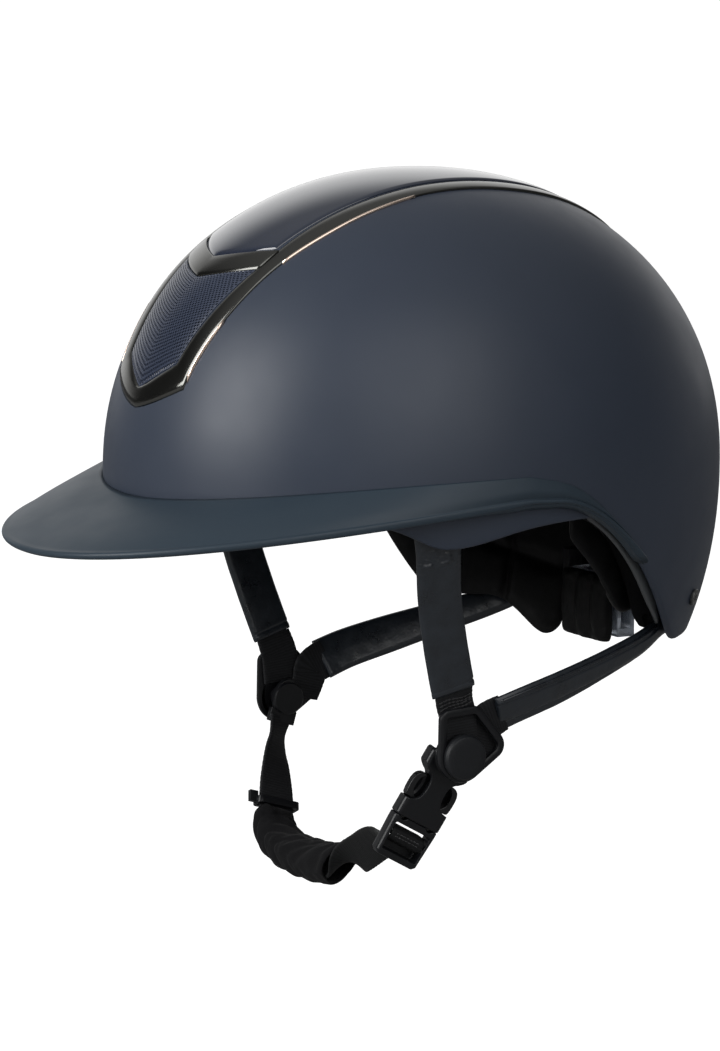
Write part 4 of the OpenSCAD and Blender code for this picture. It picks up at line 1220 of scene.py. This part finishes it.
def rear_shape(k, gone, u, v):
    """A stuffed strap: a crowned face below a corded ridge along its upper edge."""
    half, t = rear_rows[k][6], rear_rows[k][7]
    inner = max(0.0, 1 - (u / half) ** 2)
    if abs(u) < half - t * 0.98:
        if v > 0:
            below = half - PIPING_IN - PIPING_R - 0.7
            aside = min(1.0, abs((u + half - below) / (2 * half - 3.4) - 0.43) * 1.9)
            v = t * (0.5 + 0.5 * math.sqrt(max(0.0, 1 - aside ** 3)))
            v -= 0.55 * bell(u, below, 0.5)
            v += 0.3 * bell(u, half - PIPING_IN - t * 0.35, 0.6)
        else:
            v = -t * (0.55 + 0.25 * inner)
    else:
        v *= 0.62
    ends = min(1.0, gone / 0.9)
    crease = 0.07 * noise.noise(Vector((u * 0.2, gone * 0.25, 5.0)))
    return u, v * (0.55 + 0.45 * ends) + crease


# Place, direction across it, and how much less than half a width
REAR_WEB_WAY = [((RING_X - 2.7, 6, -94.7), (0.2, -0.27, 0.94), 0),
                ((REAR_WEB_X, -1.5, -98.2), (0, -0.27, 0.94), 0),
                ((REAR_WEB_X, -3.0, -102.5), (0, -0.75, 0.66), 0.5),
                ((REAR_WEB_X, -4.5, -107.5), (0, -0.98, 0.2), 1),
                ((REAR_WEB_X, -5.5, -112.0), (0, -1, 0), 2)]
rear_web_rows = fine_rows([row_of(p, across, WEB_W / 2 - less, WEB_T / 2)
                           for p, across, less in REAR_WEB_WAY])

STITCH_ROWS = (3.2, 4.7, 6.2, 7.7)


def front_stitches():
    """Rows of thick thread across the webbing, below the leather."""
    along, side, out = frames(front_web_rows)
    gone = distances(front_web_rows)
    paths = []
    for at_mm in STITCH_ROWS:
        k = int(np.searchsorted(gone, at_mm))
        line = [front_web_rows[k][:3] + side[k] * u + along[k] * (0.35 * math.sin(u * 0.5))
                + out[k] * (WEB_T / 2 + 0.12) for u in np.linspace(-WEB_W / 2 + 0.8, WEB_W / 2 - 0.8, 30)]
        paths += stitch_paths(line, out[k], 1.5, 0.35, 0.3)
    return tubes(paths, 0.26)


def rear_cord():
    """The cord sewn along the rear strap's upper edge."""
    along, side, out = frames(rear_rows)
    line = []
    for k in range(4, len(rear_rows) - 40, 3):
        half, t = rear_rows[k][6], rear_rows[k][7]
        line.append(rear_rows[k][:3] + side[k] * (half - PIPING_IN) + out[k] * t * 0.62)
    return tubes([line], PIPING_R, 12)


for side, sign in (("left", 1), ("right", -1)):
    flip = side == "right"
    strap_piece("front_cover_%s_fine" % side, sweep(cover_rows, cover_shape, 40), "helmet", strap_leather,
                "strap_leather", ("front_cover_" + side,), flip)
    strap_piece("front_webbing_%s_fine" % side, ribbed(front_web_rows), "helmet", webbing, "webbing",
                ("front_webbing_" + side,), flip)
    strap_piece("rear_strap_%s_fine" % side, sweep(rear_rows, rear_shape, 40), "helmet", strap_leather,
                "strap_leather", ("rear_strap_" + side,), flip)
    strap_piece("rear_webbing_%s_fine" % side, ribbed(rear_web_rows), "helmet", webbing, "webbing", (), flip)
    for name, (points, faces), material, slot in (
            ("front_stitches_%s" % side, front_stitches(), thread, "webbing"),
            ("rear_cord_%s" % side, rear_cord(), cord_leather, "strap_leather")):
        piece(name, [p * np.array([sign, 1, 1]) for p in points], faces, "helmet", material, slot)


# Chin strap: the plane it lies in leans about both hubs

CHIN = at(HUB, (-16.0, "X"))
MOUTH = (EYE_X - 7.1, -5.75, -31.1)
BUCKLE = CHIN @ at(MOUTH, (-13.2, "X"), (9.3, "Y"), (-2.1, "Z"))


def placed(points, frame_at):
    return [np.array(frame_at @ Vector([float(c) for c in p])) for p in points]


def turned(direction, frame_at):
    return np.array(frame_at.to_3x3() @ Vector([float(c) for c in direction]))


def roll_dir(ahead, roll):
    out = unit((-ahead[1], 0, ahead[0]))
    return out * math.sin(math.radians(roll)) + np.array([0, math.cos(math.radians(roll)), 0])


PAD_PATH = [(-59.5, -47.5, 0, 9.6, 5), (-57, -53, -6, 10.2, 7), (-50.5, -58.3, -13, 10.5, 8),
            (-41, -61.2, -21, 10.5, 8), (-30, -62, -29, 10.5, 8), (-18, -62, -38, 10.5, 8),
            (-6, -61.3, -47, 10.5, 7.6), (5, -59.6, -55, 10.3, 7)]


def chin_row(x, y, z, direction, half_w, half_t):
    """A row of the chin strap, given in its own plane."""
    return row_of(placed([(x, y, z)], CHIN)[0], turned(direction, CHIN), half_w, half_t)


def chin_rows(way):
    """Rows along a way of (x, z, turn in degrees, half width, half thickness), each square to the way."""
    rows = []
    for number, (x, z, roll, half_w, half_t) in enumerate(way):
        before, after = way[max(0, number - 1)], way[min(len(way) - 1, number + 1)]
        direction = roll_dir((before[0] - after[0], before[1] - after[1]), roll)
        rows.append(chin_row(x, 0, z, direction, half_w, half_t))
    return rows


pad_line = along_line(chin_rows(PAD_PATH), 0.25)
pad_gone = distances(pad_line)
pad_length = pad_gone[-1]
pad_along, pad_side, pad_out = frames(pad_line)


def pad_number(share):
    return int(round(share * (len(pad_line) - 1)))


def in_pad(gone, u, v):
    """A point of the chin pad by distance along it, across it and out of it."""
    gone = min(max(gone, 0.0), pad_length)
    k = pad_number(gone / pad_length)
    return pad_line[k][:3] + pad_side[k] * u + pad_out[k] * v + pad_along[k] * (gone - pad_gone[k])


FOLD_PITCH = 11.0
FOLD_SLANT_U, FOLD_SLANT_V = 12.0, -9.0
FOLD_ROWS = 8
FOLD_END = 16
MOUTH_DEPTH = 15.0
LIP = 1.1
PAD_AROUND = 44
SKIN_ROOM = 0.7


def pad_ring(gone, half_u, half_v, slant=0.0):
    """A ring round the chin pad, shifted along it by the slant of its folds."""
    ring = []
    for j in range(PAD_AROUND):
        q = 2 * math.pi * j / PAD_AROUND
        c, e = signed_power(math.cos(q), 0.8), signed_power(math.sin(q), 0.8)
        ring.append(in_pad(gone + (FOLD_SLANT_U * c + FOLD_SLANT_V * e) * slant, c * half_u, e * half_v))
    return ring


def chin_pad():
    """A padded sleeve: an outer tube gathered in slanting folds, and an inner tube that opens into a cup."""
    rings, sewn = [], []
    steps = int(pad_length / FOLD_PITCH * FOLD_ROWS)
    for i in range(steps + 1):
        gone = pad_length * i / steps
        free = min(1.0, gone / FOLD_END, (pad_length - gone) / FOLD_END)
        sizes = pad_line[pad_number(gone / pad_length)]
        near = min(i % FOLD_ROWS, FOLD_ROWS - i % FOLD_ROWS) / (FOLD_ROWS / 2)
        pinch = 1 - 0.1 * (1 - near) ** 3 * free
        neck = 1 - 0.16 * bell(gone, 0, 4)
        if i % FOLD_ROWS == 0 or i == steps:
            sewn += range(len(rings) * PAD_AROUND, (len(rings) + 1) * PAD_AROUND)
        half_u, half_v = ((sizes[n] - SKIN_ROOM) * pinch * neck for n in (6, 7))
        rings.append(pad_ring(gone, half_u, half_v, free))
    for i in range(steps, -1, -2):
        gone = pad_length * i / steps
        sizes = pad_line[pad_number(gone / pad_length)]
        cup = ease(gone, pad_length - MOUTH_DEPTH, pad_length - 2)
        cup_u, cup_v = sizes[6] - SKIN_ROOM - LIP, sizes[7] - SKIN_ROOM - LIP
        small_u, small_v = WEB_W / 2 + 0.7, WEB_T / 2 + 0.9
        sewn += range(len(rings) * PAD_AROUND, (len(rings) + 1) * PAD_AROUND)
        rings.append(pad_ring(gone - (0.5 if i == steps else 0), small_u + (cup_u - small_u) * cup,
                              small_v + (cup_v - small_v) * cup))
    plan_pad("chin_pad_soft", *loft(rings, around=True), sewn, 0.05, 1.2, "chin_strap", suede, "chin_fabric")


chin_pad()
puff_pads()


def in_pad_rows(start, end, n):
    """Webbing rows inside the pad, from one share of its length to another."""
    return [np.array([*pad_line[k][:6], WEB_W / 2, WEB_T / 2])
            for k in map(pad_number, np.linspace(start, end, n))]


RIGHT_TOP = -EYE_X - EYE_T / 2
RIGHT_DRIFT = -61.6 - RIGHT_TOP
# Share of the drift outwards, height, turn in degrees, half width
RIGHT_WAY = [(0, -EYE_R + 0.5, 20, 7.0), (0.02, -16, 34, 6.8), (0.14, -22, 26, 7.2), (0.41, -28.5, 14, 7.8),
             (0.71, -36, 5, 8.3), (1, -43, 0, 8.5)]
right_rows = chin_rows([(RIGHT_TOP + RIGHT_DRIFT * share, z, roll, half_w, WEB_T / 2)
                        for share, z, roll, half_w in RIGHT_WAY])
right_rows += in_pad_rows(0.0, 0.55, 4)
strap_piece("webbing_right_fine", ribbed(fine_rows(right_rows)), "chin_strap", webbing, "webbing",
            ("webbing_right",))


# The left webbing wraps the bar in the buckle's plug and runs inwards to the pad
BAR_Z, BAR_HALF = -8.1, 1.0
WRAP = [(-3.4, -5.4), (-1.9, -5.4), (0.6, -5.7), (2.25, -6.6), (2.75, -8.0), (2.3, -9.7), (0.6, -10.8),
        (-1.8, -11.2), (-4.0, -11.6), (-6.8, -12.2)]
wrap_dir = turned((0, 1, 0), BUCKLE)
left_rows = [row_of(placed([(x, 0, z)], BUCKLE)[0], wrap_dir, WEB_W / 2 - 0.2, 0.65) for x, z in WRAP]
for x, y, z, roll in ((47, -3.5, -42.5, -24), (36, -3, -45.2, -38), (20, -1, -53, -50)):
    left_rows.append(chin_row(x, y, z, roll_dir((0.94, 0.34), roll), WEB_W / 2, WEB_T / 2))
left_rows += in_pad_rows(0.99, 0.6, 4)
left_web = strap_piece("webbing_left_fine", ribbed(fine_rows(left_rows)), None, webbing_smooth, "webbing",
                       ("webbing_left",))
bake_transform(left_web)


def wrap_stitches():
    """A few rows of thread across the webbing where it is folded over the bar."""
    paths = []
    for x, z in ((2.75 + 0.75, -7.4), (2.6 + 0.75, -8.8)):
        line = placed([(x, y, z) for y in np.linspace(-6.5, 6.5, 24)], BUCKLE)
        paths += stitch_paths(line, turned((1, 0, 0), BUCKLE), 1.3, 0.4, 0.22)
    return tubes(paths, 0.2)


piece("wrap_stitches", *wrap_stitches(), "buckle_plug", thread, "webbing")


# Side-release buckle: a socket on the left divider, and a plug with two sprung prongs

SOCKET_L = 31.0
COLLAR_L = 8.0
WINDOW_TOP = 20.0
BUCKLE_W, BUCKLE_T = WEB_W + 5, 8.0
PLUG_L = 18.0
ARM_W = 3.4
ARM_X = BUCKLE_W / 2 - 4.3
SLOT_HALF = 2.2


def solid(rings):
    """A helper solid over rings of points in millimetres."""
    mesh = mesh_of("helper", *loft(rings))
    outward_faces(mesh)
    return linked("helper", mesh)


def prism(outline_yz, half_t):
    """A flat shape in the buckle's plane, centred on its thickness."""
    return solid([[(x, y, z) for y, z in outline_yz] for x in (-half_t, half_t)])


def slab(levels, n=8):
    """A bar with rounded long edges: levels are (z, depth, width, corner)."""
    rings = []
    for z, d, w, r in levels:
        ring = []
        for sx, sy, start in ((1, 1, 0), (-1, 1, 90), (-1, -1, 180), (1, -1, 270)):
            for k in range(n + 1):
                q = math.radians(start + 90 * k / n)
                ring.append((sx * (d / 2 - r) + r * math.cos(q), sy * (w / 2 - r) + r * math.sin(q), z))
        rings.append(ring)
    return solid(rings)


def block(x0, x1, half_y, z0, z1, round_mm=0.0):
    return boxed((x1 - x0, 2 * half_y, z1 - z0), at(((x0 + x1) / 2, 0, (z0 + z1) / 2)), round_mm)


def moulded(obj, name, voxel, smoothing, body, material):
    """Softens a hard solid into a moulding with rounded edges and carries it to its place."""
    modifier(obj, "REMESH", mode="VOXEL", voxel_size=voxel * MM, use_smooth_shade=True)
    modifier(obj, "SMOOTH", factor=0.5, iterations=smoothing)
    apply_modifiers(obj)
    obj.data.transform(Matrix.Scale(MM, 4) @ BUCKLE @ Matrix.Scale(1 / MM, 4))
    obj.name = obj.data.name = name + "_fine"
    finish_piece(obj, body, material, (name,))


side_opening = spline([(-1, 7.9), (1.4, 7.9), (3.6, 8.5), (5.6, 10.2), (6.5, 12.8), (6.75, 15.4), (6.3, 18.4),
                       (5, 20.6), (3, 21.9), (-1, 25.4)], 6)
to_buckle = BUCKLE.inverted() @ CHIN


def make_socket():
    """The socket: a body with two side openings, and an eye on the divider's pin."""
    body = slab([(0.02, BUCKLE_T - 0.6, BUCKLE_W - 0.6, 1.8), (0.5, BUCKLE_T, BUCKLE_W, 2.0),
                 (SOCKET_L - 1, BUCKLE_T, BUCKLE_W, 2.0), (SOCKET_L, BUCKLE_T - 1, BUCKLE_W - 1, 1.6)])
    carve(body, drum(EYE_R, EYE_T, to_buckle @ at((EYE_X, 0, 0))), operation="UNION")
    for sign in (1, -1):
        carve(body, prism([(sign * (BUCKLE_W / 2 - p[0]), p[1]) for p in side_opening], BUCKLE_T))
    # A thin plate closes the back of both side openings so that they show dark: a dark sheet standing in for
    # the shade deep inside them
    carve(body, boxed((0.8, 2 * ARM_X + 6, 10.2), at((-3.2, 0.8, COLLAR_L + 5.1)), 0), operation="UNION")
    carve(body, block(-SLOT_HALF, SLOT_HALF, (BUCKLE_W - 3) / 2, -1, WINDOW_TOP),
          drum(HUB_R + 0.25, 40, to_buckle @ at((EYE_X - 20, 0, 0))),
          drum(HUB_R + 2.5, 8, to_buckle @ at((EYE_X - 8, 0, 0))))
    moulded(body, "buckle_socket", 0.3, 3, "chin_strap", plastic)


def make_plug():
    """The plug: a frame with a bar for the webbing, a tongue, and room for two prongs."""
    depth = BUCKLE_T - 1
    body = slab([(-0.08, depth - 0.4, BUCKLE_W - 0.6, 1.6), (-0.5, depth, BUCKLE_W, 1.8),
                 (-2.5, depth, BUCKLE_W, 1.8), (-PLUG_L + 1, depth, BUCKLE_W - 1.4, 1.8),
                 (-PLUG_L - 0.4, depth - 1, BUCKLE_W - 4, 1.6)])
    carve(body, block(-BUCKLE_T, BUCKLE_T, (WEB_W + 0.8) / 2, -PLUG_L + 2.5, -3.2, 0.8))
    bar = slab([(BAR_Z + BAR_HALF * share, d, WEB_W + 3, r)
                for share, d, r in ((-1, 1.0, 0.4), (-0.6, 2.6, 0.5), (0.6, 2.6, 0.5), (1, 1.0, 0.4))])
    half_tongue = ARM_X - ARM_W / 2 - 2.2
    carve(body, block(-3.4, -2.7, WEB_W / 2 + 0.6, -PLUG_L + 2.2, -11.9), bar,
          block(-SLOT_HALF + 0.35, SLOT_HALF - 0.35, half_tongue, -1, 17), operation="UNION")
    carve(body, *[drum(ARM_W / 2 + 0.3, 20, at((-10, sign * ARM_X, 0.6))) for sign in (1, -1)])
    moulded(body, "buckle_plug", 0.28, 3, "buckle_plug", plastic)


HOOK = [(1.7, 0.2), (3.9, 0.5), (4.5, 2.5), (4.7, 5.5), (4.4, 8.5), (3.5, 10.5), (1.9, 11.6), (0.4, 11.8),
        (-0.3, 11.0), (0.9, 10.0), (1.8, 8.2), (2.1, 5.5), (1.7, 3.4), (0.5, 1.9), (-1.1, 0.8)]


def make_prong(name, sign):
    """A sprung arm with its hook, made for the front side and mirrored for the rear one."""
    w = ARM_W / 2 - 0.05
    half_t = SLOT_HALF - 0.42
    shape = [(-w, 0.6), (w, 0.6), (w, COLLAR_L - 0.6)] + [(p, COLLAR_L + q) for p, q in spline(HOOK, 4)]
    shape.append((-w, COLLAR_L - 0.4))
    body = prism([(-ARM_X - y, z) for y, z in shape], half_t)
    carve(body, drum(w, 2 * half_t, at((-half_t, -ARM_X, 0.6)), 32), operation="UNION")
    if sign > 0:
        body.data.transform(Matrix.Diagonal((1, -1, 1, 1)))
        body.data.flip_normals()
    moulded(body, name, 0.2, 2, name, gloss_plastic)


make_socket()
make_plug()
make_prong("prong_front", -1)
make_prong("prong_rear", 1)


# Dividers and discs, and then the small hard parts: the CAD model's own solids with rounded edges

RING_CIRCLES = [((-21.8, -95), 4.4), ((-10.8, -95.8), 6.0), ((-2.0, -107.0), 6.2), ((HUB[1], HUB[2]), 11.0)]
RING_WIDTH = 3.5


def around_circles(shrink, n=120):
    """The outline of a band laid round circles, each smaller by shrink."""
    points = []
    for q in np.linspace(0, 2 * math.pi, n + 1)[:-1]:
        way = np.array([math.cos(q), math.sin(q)])
        centre, r = max(RING_CIRCLES, key=lambda circle: float(np.dot(circle[0], way)) + circle[1])
        points.append(np.array(centre) + way * (r - shrink))
    return points


def lathed(profile, sign, n=72):
    """A turned part on the divider's pin: profile gives places (x, radius) from one end to the other."""
    rings = [[np.array([sign * x, HUB[1] + r * math.cos(q), HUB[2] + r * math.sin(q)])
              for q in np.linspace(0, 2 * math.pi, n + 1)[:-1]] for x, r in profile]
    return loft(rings)


def make_divider(side, sign):
    """The open ring round both webbings, the seat under its disc, and its pin."""
    profile = [(0.6, 0), (0.15, 0.25), (0, 0.7), (0, RING_T - 1.0), (0.3, RING_T - 0.3), (1.0, RING_T),
               (RING_WIDTH - 1.0, RING_T), (RING_WIDTH - 0.3, RING_T - 0.3), (RING_WIDTH, RING_T - 1.0),
               (RING_WIDTH, 0.5), (RING_WIDTH - 0.4, 0)]
    outlines = [around_circles(d) for d, x in profile]
    rings = [[np.array([sign * (RING_X + x), *places[j]]) for places, (d, x) in zip(outlines, profile)]
             for j in range(len(outlines[0]))]
    seat = [(RING_X, 0.01), (RING_X, DISC_R - 0.3), (RING_X + RING_T, DISC_R - 0.3), (RING_X + RING_T, 0.01)]
    pin = [(EYE_X - 0.4, 0.01), (EYE_X - 0.4, HUB_R), (RING_X + 0.2, HUB_R), (RING_X + 0.2, 0.01)]
    head = [(EYE_X - 1.8, 0.01), (EYE_X - 1.8, HUB_R + 1.6), (EYE_X - 1.4, HUB_R + 2),
            (EYE_X - 0.3, HUB_R + 2), (EYE_X - 0.3, 0.01)]
    parts = [loft(rings, around=True)] + [lathed(part, sign) for part in (seat, pin, head)]
    made = piece("divider_%s_fine" % side, *joined(parts), "helmet", plastic, "buckle_plastic",
                 ("divider_" + side,))
    sharpened(made, 40)


def make_disc(side, sign):
    """The round cover on a divider, with a step near its rim."""
    seat, face = RING_X + RING_T + 0.1, RING_X + RING_T + 3.4
    profile = [(seat, 0.01), (seat, DISC_R - 0.3), (seat + 0.3, DISC_R), (face - 1.5, DISC_R),
               (face - 1.1, DISC_R - 0.15), (face - 0.85, DISC_R - 0.5), (face - 0.5, DISC_R - 0.6),
               (face - 0.15, DISC_R - 0.85), (face, DISC_R - 1.3), (face + 0.05, DISC_R * 0.6),
               (face + 0.08, 0.01)]
    made = piece("divider_disc_%s_fine" % side, *lathed(profile, sign), "helmet", disc_plastic,
                 "buckle_plastic", ("divider_disc_" + side,))
    sharpened(made, 50)


for side, sign in (("left", 1), ("right", -1)):
    make_divider(side, sign)
    make_disc(side, sign)

TAB_SHARE = 0.74
for node, body, material, slot, width in (
        ("strap_tab_right", "chin_strap", plastic, "buckle_plastic", 0.5),
        ("sleeve_cuff", "chin_strap", plastic, "buckle_plastic", 0.5),
        ("front_anchors", "helmet", arm_plastic, "anchor_plastic", 0.6),
        ("rear_screws", "helmet", screw_metal, "screw", 0.35),
        ("nape_arm_left", "nape_arm_left", arm_plastic, "anchor_plastic", 0.25),
        ("nape_arm_right", "nape_arm_right", arm_plastic, "anchor_plastic", 0.25),
        ("dial_housing", "helmet", clear_grey, "housing_clear", 0.7),
        ("dial_knob", "dial", gloss_plastic, "anchor_plastic", 0.4),
        ("dial_gear", "dial", arm_plastic, "anchor_plastic", 0.12),
        ("cradle_spine", "helmet", arm_plastic, "anchor_plastic", 0.3)):
    made = rounded(node, body, material, width)
    if node == "strap_tab_right":
        in_metres = Matrix.Scale(MM, 4) @ CHIN
        made.data.transform(in_metres @ Matrix.Diagonal((1, TAB_SHARE, 1, 1)) @ in_metres.inverted())


# Studio: pale floor, soft lights and the camera of the photograph

CAMERA_AZ, CAMERA_EL = 61.7, 8.35
CAMERA_FAR = 2.365
CAMERA_RIGHT, CAMERA_UP = -0.017, -0.026
LENS = 192.0
FLOOR_Z = -0.1925


def camera_axes():
    az, el = math.radians(CAMERA_AZ), math.radians(CAMERA_EL)
    back = Vector((math.sin(az) * math.cos(el), -math.cos(az) * math.cos(el), math.sin(el)))
    right = Vector((math.cos(az), math.sin(az), 0))
    return back, right, back.cross(right)


back, right, up = camera_axes()
camera = linked("camera", bpy.data.cameras.new("camera"))
camera.data.lens = LENS
camera.data.sensor_width = 36
camera.data.clip_end = 100
camera.location = right * CAMERA_RIGHT + up * CAMERA_UP + back * CAMERA_FAR
camera.rotation_euler = Matrix((right, up, back)).transposed().to_euler()
bpy.context.scene.camera = camera

AIM = Vector((0, 0, 0.02))


def lamp(name, side, ahead, above, far, size, power):
    """A soft light, placed by shares to the camera's right, towards the camera and up."""
    data = bpy.data.lights.new(name, "AREA")
    data.shape = "RECTANGLE"
    data.size, data.size_y = size
    data.energy = power
    obj = linked(name, data)
    obj.location = AIM + (right * side + back * ahead + up * above).normalized() * far
    obj.rotation_euler = (AIM - obj.location).to_track_quat("-Z", "Y").to_euler()


def by_ray(nodes, straight, mirrored, others):
    """A strength that differs for rays from the eye or through glass, rays in a mirror, and all others."""
    path = nodes.node("LightPath").outputs
    eye = nodes.maths("MAXIMUM", path["Is Camera Ray"], path["Is Transmission Ray"])
    away = nodes.maths("SUBTRACT", 1.0, eye)
    mirror = nodes.maths("MULTIPLY", path["Is Glossy Ray"], away)
    rest = nodes.maths("SUBTRACT", away, mirror)
    total = 0.0
    for ray, strength in ((eye, straight), (mirror, mirrored), (rest, others)):
        total = nodes.maths("ADD", total, nodes.maths("MULTIPLY", ray, strength))
    return total


FLOOR_GREY = 0.35
FLOOR_HALF = 20.0
floor_material = bpy.data.materials.new("floor")
floor_material.use_nodes = True
floor_material.node_tree.nodes.clear()
nodes = Nodes(floor_material.node_tree)
diffuse = nodes.node("BsdfDiffuse", Color=(FLOOR_GREY, FLOOR_GREY, FLOOR_GREY, 1))
glow = nodes.node("Emission", {"Strength": by_ray(nodes, 1.0, 0.03, 0.0)})
both = nodes.node("AddShader", {0: diffuse.outputs[0], 1: glow.outputs[0]})
nodes.node("OutputMaterial", {"Surface": both.outputs[0]})
floor_mesh = bpy.data.meshes.new("floor")
corners = [(x * FLOOR_HALF, y * FLOOR_HALF, FLOOR_Z) for x, y in ((-1, -1), (1, -1), (1, 1), (-1, 1))]
floor_mesh.from_pydata(corners, [], [(0, 1, 2, 3)])
floor_mesh.materials.append(floor_material)
floor = linked("floor", floor_mesh)

# The world is white to the eye; mirrored rays meet a bright backdrop behind the helmet and a dim ceiling
world = bpy.data.worlds.new("studio")
bpy.context.scene.world = world
world.use_nodes = True
world.node_tree.nodes.clear()
nodes = Nodes(world.node_tree)
ray = nodes.node("TexCoord").outputs["Generated"]
facing = nodes.node("VectorMath", {0: ray}, operation="DOT_PRODUCT")
facing.inputs[1].default_value = -back
backdrop = nodes.span(facing.outputs["Value"], 0.06, 0.9, 0.5, 0.85, "SMOOTHSTEP")
upward = nodes.node("SeparateXYZ", {0: ray}).outputs["Z"]
ceiling = nodes.span(upward, 0.0, 0.3, 0.35, 0.95, "SMOOTHSTEP")
strength = by_ray(nodes, 1.0, nodes.maths("ADD", backdrop, ceiling), 0.1)
sky = nodes.node("Background", {"Strength": strength}, Color=(1, 1, 1, 1))
nodes.node("OutputWorld", {"Surface": sky.outputs[0]})

lamp("key_left", -0.72, 0.5, 0.3, 2.0, (1.3, 1.3), 35)
lamp("fill_front", 0.35, 0.85, 0.35, 2.6, (2.2, 2.2), 25)
lamp("rim_right", 0.85, -0.45, 0.1, 1.8, (0.2, 1.2), 0.3)

bpy.context.scene.view_settings.view_transform = "Standard"
